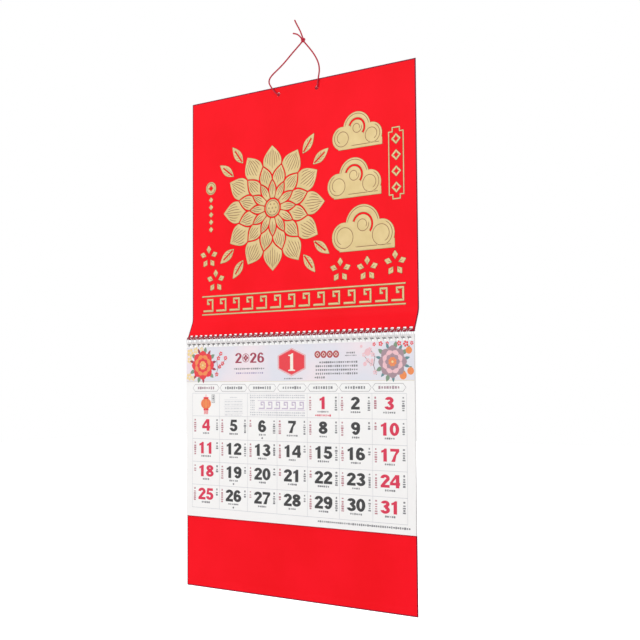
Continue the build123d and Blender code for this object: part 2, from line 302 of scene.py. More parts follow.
# Finishes
def red_card():
    """Satin red print on the front, pale grey on the back. It is dark along the cut edges, with painted
    shadow in a fine line where the pages' feet rest on it, and painted shade at the punched foot of the top
    board."""
    card = Finish("red card", (0.93, 0.006, 0.018), 0.5, Specular_IOR_Level=0.08)
    red = card.speckled((0.95, 0.004, 0.014), (0.90, 0.003, 0.010), 14.0)
    facing = card.parts(card.add("ShaderNodeTexCoord").outputs["Normal"])["Y"]
    place = card.parts(card.place())
    to_side = card.maths("SUBTRACT", card.off(place["X"], middle_x), sheet_width / 2 * MM)
    to_head = card.maths("SUBTRACT", place["Z"], board_high.z)
    to_foot = card.maths("SUBTRACT", back_low.z, place["Z"])
    rim = card.ramp(card.maths("MAXIMUM", card.maths("MAXIMUM", to_side, to_head), to_foot), -0.0018, -0.0008)
    # Painted shadow: a fine dark line on the back board just under the pages' feet
    painted_foot_shadow = card.ramp(card.off(place["Z"], page_low.z - 0.0006), 0.0011, 0.0006, high=0.5)
    # Painted shade: the board darkens towards the punched foot of the top board, under the wire
    painted_flap_shade = card.ramp(card.off(place["Z"], board_low.z), 0.0068, 0.0012, high=0.8)
    dark = card.maths("MAXIMUM", rim, card.maths("MAXIMUM", painted_foot_shadow, painted_flap_shade))
    # The dark colour of the cut edges, also used for the painted shadow and the painted shade above
    fronts = card.mixed(dark, red, (0.14, 0.008, 0.030))
    backs = card.speckled((0.60, 0.585, 0.555), (0.70, 0.69, 0.665), 420.0, 6.0)
    sides = card.mixed(card.maths("GREATER_THAN", facing, 0.5), fronts, backs)
    is_edge = card.maths("LESS_THAN", card.off(facing, 0.0), 0.4)
    card.set("Base Color", card.mixed(is_edge, sides, (0.16, 0.006, 0.016)))
    return card.grained(2600.0, 0.10)


def gold_foil():
    """Pale matt gold, with brown-red in its engraved lines, and a brown-red line of painted shade round its
    rim.
    """
    foil = Finish("gold foil", (0.64, 0.50, 0.25), 0.5, Metallic=0.3, Specular_IOR_Level=0.3)
    gold = foil.speckled((0.62, 0.485, 0.24), (0.57, 0.435, 0.205), 60.0)
    # Brown-red near the rim is painted shade at the foot of the pressed foil; in the engraved lines it is
    # their own dark
    line = foil.ramp(foil.attribute("rim"), 0.30, 0.80)
    foil.set("Base Color", foil.mixed(line, gold, (0.14, 0.030, 0.012)))
    return foil.grained(1500.0, 0.16)


def page_paper():
    """Uncoated paper, with painted shade on its cut walls: a little at its edges, and most in its punched
    holes.
    """
    paper = Finish("page paper", (0.895, 0.885, 0.875), 0.72)
    sheet = paper.speckled((0.895, 0.885, 0.875), (0.885, 0.873, 0.865), 30.0)
    paper.set("Base Color", paper.mixed(paper.attribute("cut"), sheet, (0.05, 0.045, 0.05)))
    return paper.grained(1800.0, 0.12)


def plain_ink(name, colour):
    """Printed colour, slightly uneven as ink on paper is."""
    ink = Finish(name, colour, 0.6)
    ink.set("Base Color", ink.speckled(colour, [part * ink_spread for part in colour], 420.0))
    return ink.grained(1800.0, 0.10)


def banner_ink():
    """Pale field that drifts from lavender grey to rose, in soft clouds."""
    field = Finish("banner ink", (0.78, 0.77, 0.84), 0.6)
    field.set("Base Color", field.speckled((0.72, 0.72, 0.79), (0.84, 0.74, 0.78), 16.0, 2.0, 0.38, 0.66))
    return field.grained(1800.0, 0.10)


def white_wire():
    """White enamel, with a painted reflection of the board's red at its top, and painted shadow where it
    enters the pages' holes.
    """
    wire = Finish("white wire", (0.80, 0.80, 0.82), 0.28, Metallic=0.4, Coat_Weight=0.3, Coat_Roughness=0.15)
    white = wire.speckled((0.82, 0.82, 0.84), (0.70, 0.70, 0.73), 300.0)
    height = wire.parts(wire.place())["Z"]
    # Painted reflection: the wire's top takes the board's red
    top = wire.ramp(height, hinge.z + 0.0012, hinge.z + 0.0040)
    # Painted shadow: the wire goes dark where it dives into the pages' holes
    painted_hole_shadow = wire.ramp(height, hinge.z - 0.0038, hinge.z - 0.0048)
    white_with_painted_red = wire.mixed(top, white, (0.36, 0.03, 0.05))
    wire.set("Base Color", wire.mixed(painted_hole_shadow, white_with_painted_red, (0.08, 0.07, 0.08)))
    return wire.grained(2200.0, 0.05)


def red_cord():
    cord = Finish("red cord", (0.60, 0.006, 0.040), 0.6, Sheen_Weight=0.08, Sheen_Roughness=0.4)
    cord.set("Base Color", cord.speckled((0.64, 0.006, 0.045), (0.38, 0.004, 0.024), 1400.0))
    return cord.grained(4200.0, 0.4)


foil = gold_foil()
cord = red_cord()
finishes = {name: (plain_ink(name + " ink", colour), slot)
            for slot, colours in inks.items() for name, colour in colours.items()}
finishes["banner"] = (banner_ink(), "banner_ink")


# Flat regions
def within(loop, spots):
    """Which spots lie inside a closed outline."""
    inside = np.zeros(len(spots), bool)
    for (x1, y1), (x2, y2) in zip(loop, np.roll(loop, -1, axis=0)):
        if y1 != y2:
            crosses = (y1 > spots[:, 1]) != (y2 > spots[:, 1])
            inside ^= crosses & (spots[:, 0] < (x2 - x1) * (spots[:, 1] - y1) / (y2 - y1) + x1)
    return inside


def turned(points, degrees, x=0.0, y=0.0):
    """Points turned about the origin, then moved."""
    turn = math.radians(degrees)
    spin = np.array(((math.cos(turn), math.sin(turn)), (-math.sin(turn), math.cos(turn))))
    return points @ spin + np.array((x, y))


class Flat:
    """Flat region, given by the outlines that may bound it and a test of which spots it holds."""

    def __init__(self, loops, holds):
        self.loops = loops
        self.holds = holds

    def __add__(self, other):
        return Flat(self.loops + other.loops, lambda spots: self.holds(spots) | other.holds(spots))

    def __sub__(self, other):
        return Flat(self.loops + other.loops, lambda spots: self.holds(spots) & ~other.holds(spots))

    def __and__(self, other):
        return Flat(self.loops + other.loops, lambda spots: self.holds(spots) & other.holds(spots))

    def moved(self, x=0.0, y=0.0, turn=0.0):
        loops = [turned(loop, turn, x, y) for loop in self.loops]
        return Flat(loops, lambda spots: self.holds(turned(spots - np.array((x, y)), -turn)))


def filled(points):
    loop = np.array([tuple(point)[:2] for point in points], float)
    return Flat([loop], lambda spots: within(loop, spots))


def arc(radius, start, turn, steps):
    """Points along an arc about the origin, both ends included."""
    turns = [math.radians(start + turn * step / steps) for step in range(steps + 1)]
    return [(radius * math.cos(angle), radius * math.sin(angle)) for angle in turns]


def scaled(points, width, height):
    return [(x * width, y * height) for x, y in points]


def shifted(points, x=0.0, y=0.0):
    return [(px + x, py + y) for px, py in points]


def mirrored(side):
    """The other side of an outline that runs up the Y axis, from its top down."""
    return [(-x, y) for x, y in reversed(side)]


def disc(radius, steps=48):
    return filled(arc(radius, 0, 360, steps)[:-1])


def oval(width, height, steps=40):
    return filled(scaled(arc(1, 0, 360, steps)[:-1], width / 2, height / 2))


def rectangle(width, height):
    return filled(scaled([(-1, -1), (1, -1), (1, 1), (-1, 1)], width / 2, height / 2))


def lozenge(width, height):
    return filled(scaled([(0, -1), (1, 0), (0, 1), (-1, 0)], width / 2, height / 2))


def arc_band(radius, width, start, turn, steps=40):
    outer = arc(radius + width / 2, start, turn, steps)
    return filled(outer + arc(radius - width / 2, start + turn, -turn, steps))


def curl(radius, start, turn, pitch):
    """Spiral inwards about the origin, closer by the pitch after each turn."""
    steps = round(abs(turn) / 12)
    closer = pitch * abs(turn) / 360
    return [arc(radius - closer * step / steps, start + turn * step / steps, 0, 1)[0]
            for step in range(steps + 1)]


def petal_outline(length, width, belly, steps=28):
    """Pointed petal up the Y axis, each side half a wave to its belly and on to its tip."""
    side = []
    for step in range(1, steps):
        share = 2 * step / steps
        height = belly * share if share < 1 else belly + (length - belly) * (share - 1)
        side.append((width / 2 * math.sin(math.pi / 2 * share), height))
    return [(0, 0)] + side + [(0, length)] + mirrored(side)


def round_petal(length, width, belly=0.62, steps=20):
    """Petal with a round tip, up the Y axis."""
    side = []
    for step in range(1, steps):
        share = step / steps
        across = math.sin(math.pi * share ** (math.log(0.5) / math.log(belly))) ** 0.8
        side.append((width / 2 * across, length * share))
    return filled([(0, 0)] + side + [(0, length)] + mirrored(side))


def key_outline(size, line):
    """Square spiral of one line, as in a key border."""
    half = size / 2
    step = 2 * line
    return [(-half, -half), (half, -half), (half, half), (-half + step, half),
            (-half + step, -half + step + line), (half - step, -half + step + line),
            (half - step, -half + step + 2 * line), (-half + step + line, -half + step + 2 * line),
            (-half + step + line, half - line), (half - line, half - line),
            (half - line, -half + line), (-half, -half + line)]


def notched_rectangle(width, height, notch):
    """Rectangle with its four corners cut square."""
    x, y = width / 2, height / 2
    corner = [(x - notch, -y), (x - notch, -y + notch), (x, -y + notch)]
    right = corner + [(px, -py) for px, py in reversed(corner)]
    return filled(right + [(-px, py) for px, py in reversed(right)])


def hexagon(width, height):
    x, y = width / 2, height / 2
    shoulder = y - height * badge_corner
    return filled([(0, -y), (x, -shoulder), (x, shoulder), (0, y), (-x, shoulder), (-x, -shoulder)])


def pointed_label(width, height, point):
    x, y = width / 2, height / 2
    return filled([(-x, 0), (-x + point, -y), (x - point, -y), (x, 0), (x - point, y), (-x + point, y)])


def stroke_of(points, width):
    """Line of even width along points."""
    points = np.array(points, float)
    ahead = np.gradient(points, axis=0)
    ahead /= np.linalg.norm(ahead, axis=1)[:, None]
    off = np.stack((-ahead[:, 1], ahead[:, 0]), axis=1) * width / 2
    return filled(list(points + off) + list((points - off)[::-1]))


def resampled(loop, spacing, closed=True):
    """Points along an outline or line, none further apart than the spacing."""
    ends = list(zip(loop, list(loop[1:]) + [loop[0]])) if closed else list(zip(loop, loop[1:]))
    points = []
    for start, end in ends:
        start, end = np.array(start, float), np.array(end, float)
        parts = max(1, math.ceil(np.linalg.norm(end - start) / spacing))
        points += [start + (end - start) * part / parts for part in range(parts)]
    return points if closed else points + [np.array(loop[-1], float)]


def chained(count, first=0, closed=True):
    """Index pairs that join a run of points."""
    return [(first + index, first + (index + 1) % count) for index in range(count if closed else count - 1)]


def triangulated(points, pairs, flat):
    """Triangles of a region, through all its points and along all its pairs."""
    spots, _, faces, _, _, _ = delaunay_2d_cdt([Vector(point) for point in points], pairs, [], 0, 1e-4)
    spots = np.array([tuple(spot) for spot in spots])
    faces = [list(face) for face in faces]
    held = flat.holds(np.array([spots[face].mean(axis=0) for face in faces]))
    faces = [face for face, keep in zip(faces, held) if keep]
    used = sorted({corner for face in faces for corner in face})
    place = {old: new for new, old in enumerate(used)}
    return spots[used], [[place[corner] for corner in face] for face in faces]


def rim_pairs(faces):
    """Sides that belong to one face only, with the region on their left."""
    sides = {side for face in faces for side in zip(face, face[1:] + face[:1])}
    return sorted(side for side in sides if side[::-1] not in sides)


def outlined(flat, spacing):
    """Points and triangles of a region with nothing between its outlines."""
    points, pairs = [], []
    for loop in flat.loops:
        spread = resampled(list(loop), spacing)
        pairs += chained(len(spread), len(points))
        points += spread
    return triangulated(points, pairs, flat)


def distance(spots, starts, ends):
    """Distance from each spot to the nearest of the segments."""
    if len(starts) == 0:
        return np.full(len(spots), 1e3)
    along = ends - starts
    lengths = np.maximum((along ** 2).sum(1), 1e-12)
    offset = spots[:, None] - starts[None]
    share = np.clip((offset * along).sum(2) / lengths, 0, 1)
    gap = offset - share[:, :, None] * along
    return np.sqrt((gap ** 2).sum(2)).min(1)


# Meshes from flat regions
def mesh_of(name, spots, faces, rims=None):
    """Mesh with a value on each vertex that says how near it is to a rim or line."""
    made = bpy.data.meshes.new(name)
    made.from_pydata([tuple(spot) for spot in spots], [], faces)
    values = [0.0] * len(spots) if rims is None else rims
    made.attributes.new("rim", "FLOAT", "POINT").data.foreach_set("value", values)
    return made


def gathered(parts):
    """Vertices and faces of several parts as one."""
    spots, faces = [], []
    for part_spots, part_faces in parts:
        faces += [[len(spots) + corner for corner in face] for face in part_faces]
        spots += list(part_spots)
    return spots, faces


def slab(low, high, faces):
    """Closed slab between a region's lower and upper points, which share its faces."""
    count = len(high)
    under = [[corner + count for corner in reversed(face)] for face in faces]
    walls = [[a, a + count, b + count, b] for a, b in rim_pairs(faces)]
    return high + low, faces + under + walls


def printed(flat, under):
    """Thin print on a sheet: a closed slab of a flat region."""
    spots, faces = outlined(flat, 2.5)
    return slab([(x, y, under) for x, y in spots], [(x, y, under + print_height) for x, y in spots], faces)


def print_mesh(*flats, layer=0):
    """Print of one ink, laid over so many layers of other inks."""
    return mesh_of("print", *gathered(printed(flat, layer * print_layer) for flat in flats))


def engraved(line):
    """Points along an engraved line, and the outline at which it has faded out, pointed at its ends."""
    track = np.array(resampled(line, foil_spacing, closed=False))
    ahead = np.gradient(track, axis=0)
    off = np.stack((-ahead[:, 1], ahead[:, 0]), axis=1) / np.linalg.norm(ahead, axis=1)[:, None]
    if not np.allclose(track[0], track[-1]):
        step = np.arange(len(track))
        off *= np.clip(np.minimum(step, len(track) - 1 - step) / line_fade, 0, 1)[:, None]
    return track, [track + off * foil_rim, track - off * foil_rim]


def along_runs(runs):
    """Starts and ends of every segment of some runs of points."""
    return (np.array([spot for run in runs for spot in run[:-1]]).reshape(-1, 2),
            np.array([spot for run in runs for spot in run[1:]]).reshape(-1, 2))


def staggered_grid(low, high):
    """Points over a box in rows, every second row half a step aside."""
    rows = np.arange(low[1], high[1], foil_mesh * foil_mesh_row)
    points = [(x + foil_mesh / 2 * (row % 2), y) for row, y in enumerate(rows)
              for x in np.arange(low[0], high[0], foil_mesh)]
    return np.array(points).reshape(-1, 2)


def pressed(flat, lines=()):
    """Pressed foil: a region with a rounded shoulder, a low dome, and engraved lines."""
    rim_spots, flat_faces = outlined(flat, foil_spacing)
    sides = rim_pairs(flat_faces)
    starts = np.array([rim_spots[a] for a, _ in sides])
    ends = np.array([rim_spots[b] for _, b in sides])
    along = (ends - starts) / np.linalg.norm(ends - starts, axis=1)[:, None]
    inward = np.stack((-along[:, 1], along[:, 0]), axis=1)
    points = [tuple(spot) for spot in rim_spots]
    pairs = list(sides)
    tracks, fades = [], []
    for line in lines:
        track, outline = engraved(line)
        tracks.append(track)
        fades += outline
    for run in tracks + fades:
        pairs += chained(len(run), len(points), closed=False)
        points += [tuple(spot) for spot in run]
    extra = []
    for step in (foil_shoulder_reach / 3, foil_shoulder_reach, foil_rim):
        near = (starts + ends) / 2 + inward * step
        extra += list(near[distance(near, starts, ends) > step * 0.92])
    grid = staggered_grid(rim_spots.min(axis=0), rim_spots.max(axis=0))
    clear = distance(grid, starts, ends) > foil_rim + foil_mesh * rim_clearance
    clear &= distance(grid, *along_runs(tracks)) > foil_rim + foil_mesh * line_clearance
    extra = np.array(extra + list(grid[clear])).reshape(-1, 2)
    extra = extra[flat.holds(extra)]
    spots, faces = triangulated(points + [tuple(spot) for spot in extra], pairs, flat)
    edge = distance(spots, starts, ends)
    edge[edge < 1e-3] = 0
    depth = np.clip(1 - distance(spots, *along_runs(tracks)) / foil_rim, 0, 1)
    depth[distance(spots, *along_runs(fades)) < 1e-3] = 0
    shoulder = np.sqrt(1 - (1 - np.minimum(edge / foil_shoulder_reach, 1)) ** 2)
    dome = 1 - (1 - np.minimum(edge / foil_dome_reach, 1)) ** 2
    rise = foil_shoulder * shoulder + foil_dome * dome - foil_groove * depth * (edge > 0)
    # Nearness to the rim, which the foil's finish darkens as painted shade, and depth in the engraved lines
    rims = list(np.maximum(np.clip(1 - edge / foil_rim, 0, 1), depth))
    top = [(x, y, z) for (x, y), z in zip(spots, rise)]
    base = [(x, y, 0) for x, y in spots]
    under = [[corner + len(spots) for corner in reversed(face)] for face in faces]
    return welded(mesh_of("pressed", top + base, faces + under, rims + rims))


def welded(mesh):
    """Merge doubles in a mesh and drop its loose points."""
    work = bmesh.new()
    work.from_mesh(mesh)
    bmesh.ops.remove_doubles(work, verts=work.verts, dist=1e-5)
    bmesh.ops.delete(work, geom=[vert for vert in work.verts if not vert.link_faces], context="VERTS")
    work.to_mesh(mesh)
    work.free()
    return mesh


def linked(name, data):
    piece = bpy.data.objects.new(name, data)
    bpy.context.scene.collection.objects.link(piece)
    return piece


def made_mesh(piece):
    """Plain mesh of an object as its modifiers leave it. The object goes."""
    bpy.context.view_layer.update()
    evaluated = piece.evaluated_get(bpy.context.evaluated_depsgraph_get())
    mesh = bpy.data.meshes.new_from_object(evaluated)
    bpy.data.objects.remove(piece)
    return mesh


def moved_mesh(mesh, x, y, turn=0.0, size=1.0):
    """Copy of a drawing's mesh, set elsewhere in the drawing."""
    copy = mesh.copy()
    copy.transform(Matrix.Translation((x, y, 0)) @ Matrix.Rotation(math.radians(turn), 4, "Z")
                   @ Matrix.Scale(size, 4))
    return copy


def face_matrix(x, y, z):
    """From a flat drawing in millimetres to the face of a sheet, given the middle of its upper edge."""
    return Matrix.Translation((x, y, z)) @ Matrix.Rotation(math.pi / 2, 4, "X") @ Matrix.Scale(MM, 4)


board_face = face_matrix(middle_x, foil_high.y, board_high.z)
page_face = face_matrix(middle_x, page_low.y, page_high.z)


def finished(name, meshes, place, material, body, replaced=()):
    """One piece from meshes of a flat drawing: joined, set in its place, shaded and tied to its body."""
    work = bmesh.new()
    for mesh in meshes:
        work.from_mesh(mesh)
    joined = bpy.data.meshes.new(name)
    work.to_mesh(joined)
    work.free()
    joined.transform(place)
    joined.materials.clear()
    joined.materials.append(material)
    joined.polygons.foreach_set("material_index", [0] * len(joined.polygons))
    joined.shade_smooth()
    joined.set_sharp_from_angle(angle=math.radians(smooth_angle))
    piece = linked(name, joined)
    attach(piece, body)
    if replaced:
        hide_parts(*replaced)
    return piece


# Geometry node trees
class Pattern(Tree):
    """Geometry tree with named inputs, which copies a drawing."""

    def __init__(self, name, sizes):
        super().__init__(bpy.data.node_groups.new(name, "GeometryNodeTree"))
        kinds = [("Geometry", "INPUT", "Geometry"), ("Geometry", "OUTPUT", "Geometry")]
        kinds += [(size, "INPUT", kind) for size, kind in sizes.items()] + [("Material", "INPUT", "Material")]
        for size, side, kind in kinds:
            self.tree.interface.new_socket(size, in_out=side, socket_type="NodeSocket" + kind)
        self.sizes = self.add("NodeGroupInput").outputs
        self.number = self.add("GeometryNodeInputIndex").outputs[0]

    def across(self):
        """Each copy's place in a row that is centred on the origin."""
        half = self.maths("DIVIDE", self.maths("SUBTRACT", self.sizes["Count"], 1.0), 2.0)
        return self.maths("MULTIPLY", self.maths("SUBTRACT", self.number, half), self.sizes["Pitch"])

    def random(self, seed, low, high):
        return self.add("FunctionNodeRandomValue", {2: low, 3: high, "ID": self.number, "Seed": seed},
                        data_type="FLOAT").outputs[1]

    def points(self, place=(0, 0, 0)):
        return self.add("GeometryNodePoints", {"Count": self.sizes["Count"], "Position": place}).outputs[0]

    def copies(self, points, **inputs):
        """Copies of the drawing on points, realised."""
        inputs.update({"Points": points, "Instance": self.sizes["Geometry"]})
        placed = self.add("GeometryNodeInstanceOnPoints", inputs).outputs[0]
        return self.add("GeometryNodeRealizeInstances", {0: placed}).outputs[0]

    def ended(self, solid):
        """The tree, its result given the material."""
        coated = self.add("GeometryNodeSetMaterial", {"Geometry": solid, "Material": self.sizes["Material"]})
        self.put(coated.outputs[0], self.add("NodeGroupOutput").inputs[0])
        return self.tree


def ring_tree():
    """Copies turned evenly about the origin."""
    ring = Pattern("ring", {"Count": "Int", "Start": "Float"})
    step = ring.maths("DIVIDE", 2 * math.pi, ring.sizes["Count"])
    turn = ring.maths("ADD", ring.maths("MULTIPLY", ring.number, step), ring.sizes["Start"])
    return ring.ended(ring.copies(ring.points(), Rotation=ring.vector(z=turn)))


def row_tree():
    """Copies in a row along X, centred on the origin."""
    row = Pattern("row", {"Count": "Int", "Pitch": "Float"})
    return row.ended(row.copies(row.points(row.vector(row.across()))))


def mark_tree():
    """Small marks in a row along X, centred on the origin, of uneven widths and heights."""
    marks = Pattern("marks", {"Count": "Int", "Pitch": "Float", "Tall": "Float", "Seed": "Int"})
    sizes = marks.sizes
    wide = marks.maths("MULTIPLY", marks.random(sizes["Seed"], 0.42, 0.86), sizes["Pitch"])
    share = marks.random(marks.maths("ADD", sizes["Seed"], 7.0), 0.6, 1.0)
    scale = marks.vector(wide, marks.maths("MULTIPLY", share, sizes["Tall"]), 1.0)
    return marks.ended(marks.copies(marks.points(marks.vector(marks.across())), Scale=scale))


def stack_tree():
    """Sheets one behind the other, a little out of line with the first, whose feet fan forward."""
    stack = Pattern("stack", {"Count": "Int", "Pitch": "Float", "Stray": "Float", "Curl": "Float",
                              "Curl start": "Float", "Height": "Float", "Seed": "Int"})
    sizes, number = stack.sizes, stack.number
    most = stack.maths("MULTIPLY", sizes["Stray"], stack.maths("MINIMUM", number, 1.0))
    strays = [stack.maths("MULTIPLY", stack.random(seed, -0.5, 0.5), most)
              for seed in (stack.maths("ADD", sizes["Seed"], 3.0), sizes["Seed"])]
    behind = stack.maths("MULTIPLY", stack.maths("MULTIPLY", number, sizes["Pitch"]), -1.0)
    layer = stack.maths("DIVIDE", number, stack.maths("SUBTRACT", sizes["Count"], 1.0))
    stored = {"Geometry": stack.points(stack.vector(*strays, behind)), "Name": "layer", "Value": layer}
    marked = stack.add("GeometryNodeStoreNamedAttribute", stored, data_type="FLOAT",
                       domain="POINT").outputs[0]
    place = stack.parts(stack.add("GeometryNodeInputPosition").outputs[0])
    drop = stack.ramp(stack.maths("MULTIPLY", place["Y"], -1.0), sizes["Curl start"], sizes["Height"],
                      interpolation_type="SMOOTHSTEP")
    named = stack.add("GeometryNodeInputNamedAttribute", {"Name": "layer"}, data_type="FLOAT").outputs[0]
    front = stack.maths("POWER", stack.maths("SUBTRACT", 1.0, named), 2.0)
    lift = stack.maths("MULTIPLY", stack.maths("MULTIPLY", drop, front), sizes["Curl"])
    bent = {"Geometry": stack.copies(marked), "Offset": stack.vector(z=lift)}
    return stack.ended(stack.add("GeometryNodeSetPosition", bent).outputs[0])


def grown(tree, mesh, **values):
    """Run a geometry tree on a mesh and keep the result as a plain mesh."""
    piece = linked("growing", mesh)
    modifier = piece.modifiers.new("growing", "NODES")
    modifier.node_group = tree
    for socket in tree.interface.items_tree:
        if socket.in_out == "INPUT" and socket.name.replace(" ", "_") in values:
            modifier[socket.identifier] = values[socket.name.replace(" ", "_")]
    return made_mesh(piece)


ring = ring_tree()
row = row_tree()
marks = mark_tree()


# Foil picture
def foil_piece(name, meshes, replaced=()):
    finished(name, meshes, board_face, foil, "head", replaced)


def ring_petal(number, margin):
    """Petal of one ring, wider all round by the margin."""
    middle, length = petal_rings[number]
    width = 2 * (middle * math.sin(math.pi / petal_count) - petal_gap / 2 + margin)
    belly = length * petal_belly + margin
    return filled(petal_outline(length + 2 * margin, width, belly)).moved(0, middle - belly)


def petal_lines(number):
    """Veins engraved on a petal of one ring, drawn in towards its tip."""
    middle, length = petal_rings[number]
    reach = length * (1 - petal_belly)
    half = middle * math.sin(math.pi / petal_count) - petal_gap / 2
    lines = []
    for share in np.linspace(-1, 1, petal_veins[number] + 2)[1:-1]:
        rises = np.linspace(-0.5 + 0.6 * abs(share), 0.85 - 0.45 * abs(share), 9)
        lines.append([(share * half * math.cos(math.pi / 2 * rise), middle + reach * rise) for rise in rises])
    return lines


def foil_flower():
    """Core with seeds, and rings of petals tucked in behind each other."""
    seeds = [shifted(scaled([(0, 1), (1, 0), (0, -1), (-1, 0), (0, 1)], seed_size, seed_size), *spot)
             for radius, count in flower_seeds for spot in arc(radius, 0, 360, count)[:-1]]
    core = disc(flower_core, 36)
    meshes = [pressed(core, seeds + [arc(flower_core - 2.0, 0, 360, 40)])]
    inside = disc(flower_core + petal_gap)
    step = 360.0 / petal_count
    for number in range(len(petal_rings)):
        unit = pressed(ring_petal(number, 0.0) - inside, petal_lines(number))
        start = math.radians(step / 2 * (number % 2))
        meshes.append(grown(ring, unit, Count=petal_count, Start=start, Material=foil))
        wider = ring_petal(number, petal_gap)
        inside = wider.moved(turn=step / 2) + wider.moved(turn=-step / 2)
    foil_piece("foil_flower", [moved_mesh(mesh, *flower_centre) for mesh in meshes], ("foil_picture",))


def foil_leaves():
    length, width = leaf_size
    vein = rectangle(leaf_vein, length * leaf_vein_length).moved(0, length * leaf_vein_middle)
    leaf = filled(petal_outline(length, width, length * leaf_belly)) - vein
    lines = [[(side * 1.9, length * share), (side * width * 0.20, length * (share + 0.06)),
              (side * width * 0.33, length * (share + 0.15))]
             for side in (-1, 1) for share in leaf_rib_shares]
    unit = pressed(leaf, lines)
    meshes = []
    for turn in [corner + side * leaf_spread for corner in leaf_corners for side in (-1, 1)]:
        x, y = arc(leaf_root, turn, 0, 1)[0]
        meshes.append(moved_mesh(unit, flower_centre[0] + x, flower_centre[1] + y, turn - 90))
    foil_piece("foil_leaves", meshes)


def foil_clouds():
    """Clouds of three lobes on a flat tail, with a curl cut into the middle lobe and lines along it."""
    meshes = []
    for x, y, width in cloud_places:
        side, middle = width * cloud_side_lobe, width * cloud_middle_lobe
        tail, aside = width * cloud_tail, width * cloud_aside
        rise = middle * cloud_rise
        body = disc(middle).moved(0, rise) + disc(side).moved(-aside, 0) + disc(side).moved(aside, 0)
        body = body + rectangle(width * 0.86, tail).moved(width * 0.06, -side + tail / 2)
        body = body - arc_band(middle * 0.55, cloud_groove, -40, 200).moved(0, rise)
        lines = [shifted(arc(middle - cloud_line_inset, 8, 164, 30), 0, rise),
                 shifted(curl(side - cloud_line_inset, 108, 500, cloud_curl), -aside),
                 shifted(curl(side - cloud_line_inset, 72, -500, cloud_curl), aside),
                 shifted(curl(middle * 0.36, 20, -420, cloud_curl * 0.7), 0, rise),
                 shifted([(-width * 0.12, tail * 0.42), (width * 0.44, tail * 0.42)], 0, -side)]
        meshes.append(moved_mesh(pressed(body, lines), x, y))
    foil_piece("foil_clouds", meshes)


def foil_blossoms():
    width, height = blossom_petal_size
    vein = [(0, blossom_eye + blossom_vein[0]), (0, blossom_eye + height * blossom_vein[1])]
    unit = pressed(lozenge(width, height).moved(0, blossom_eye + height / 2), [vein])
    star = grown(ring, unit, Count=blossom_petals, Start=0.0, Material=foil)
    foil_piece("foil_blossoms", [moved_mesh(star, *place) for place in blossom_places])


def foil_border():
    """Row of square spirals between two rails."""
    keys = grown(row, pressed(filled(key_outline(key_size, key_line))), Count=key_count, Pitch=key_pitch,
                 Material=foil)
    rail = pressed(rectangle(key_pitch * key_count, rail_height))
    foil_piece("foil_border", [moved_mesh(keys, 0, key_middle)]
               + [moved_mesh(rail, 0, height) for height in rail_heights])


def foil_cartouche():
    """Notched frame round a column of hollow lozenges."""
    width, height = cartouche_size
    inner = 2 * cartouche_line
    rim = notched_rectangle(width, height, cartouche_notch)
    rim = rim - notched_rectangle(width - inner, height - inner, cartouche_notch)
    size, eye = cartouche_lozenge, cartouche_lozenge * cartouche_eye
    unit = pressed(lozenge(size, size) - lozenge(eye, eye))
    x, y = cartouche_centre
    column = [moved_mesh(unit, x, y + cartouche_pitch * (number - (cartouche_lozenges - 1) / 2))
              for number in range(cartouche_lozenges)]
    foil_piece("foil_cartouche", [moved_mesh(pressed(rim), x, y)] + column)


def foil_pendant():
    """Disc with a square eye, over a chain of lozenges."""
    eye = pendant_disc * pendant_eye
    line = arc(pendant_disc - pendant_line_inset, 0, 360, 40)
    head = pressed(disc(pendant_disc) - lozenge(eye, eye), [line])
    unit = pressed(lozenge(pendant_lozenge, pendant_lozenge))
    x, y = pendant_centre
    first = y - pendant_disc - lozenge_gap
    pitch = pendant_lozenge + lozenge_gap
    chain = [moved_mesh(unit, x, first - pitch * (number + 0.5)) for number in range(pendant_lozenges)]
    foil_piece("foil_pendant", [moved_mesh(head, x, y)] + chain)


# Pad of pages
def punched_sheet(width, height, thickness):
    """Closed sheet with its row of square holes, and rows enough below them to curl."""
    half = punch_size / 2
    centres = [loop_pitch * (number - (loop_count - 1) / 2) for number in range(loop_count)]
    across = [-width / 2] + [x + side for x in centres for side in (-half, half)] + [width / 2]
    down = [0.0, punch_drop - half, punch_drop + half]
    down += list(np.linspace(sheet_rows_from, height, sheet_rows))
    columns = len(across)
    low, high = [[(x, -y, z) for y in down for x in across] for z in (-thickness, 0.0)]
    faces = []
    for line in range(len(down) - 1):
        for column in range(columns - 1):
            if line != 1 or column % 2 == 0:
                a = line * columns + column
                faces.append([a + columns, a + columns + 1, a + 1, a])
    mesh = mesh_of("sheet", *slab(low, high, faces))
    in_hole = [all(0 < corner % columns < columns - 1 and corner // columns in (1, 2) for corner in pair)
               for pair in rim_pairs(faces)]
    # Painted shade on the sheet's walls: full in the punched holes, less on its outer edges
    shade = [0.0] * (2 * len(faces)) + [1.0 if inside else edge_shade for inside in in_hole]
    mesh.attributes.new("cut", "FLOAT", "FACE").data.foreach_set("value", shade)
    return mesh


def curled(mesh):
    """Bend a print's mesh as the front page bends."""
    for vert in mesh.vertices:
        share = min(1.0, max(0.0, (-vert.co.y - page_curl_start) / (pad_height - page_curl_start)))
        vert.co.z += page_curl * share * share * (3 - 2 * share)
    return mesh


def pad_of_pages():
    paper = page_paper()
    sheet = punched_sheet(sheet_width, pad_height, sheet_thickness)
    pitch = (pad_thickness - sheet_thickness) / (sheet_count - 1)
    mesh = grown(stack_tree(), sheet, Count=sheet_count, Pitch=pitch, Stray=sheet_stray, Curl=page_curl,
                 Curl_start=page_curl_start, Height=pad_height, Seed=5, Material=paper)
    finished("page_sheets", [mesh], page_face, paper, "pages", ("month_pages",))


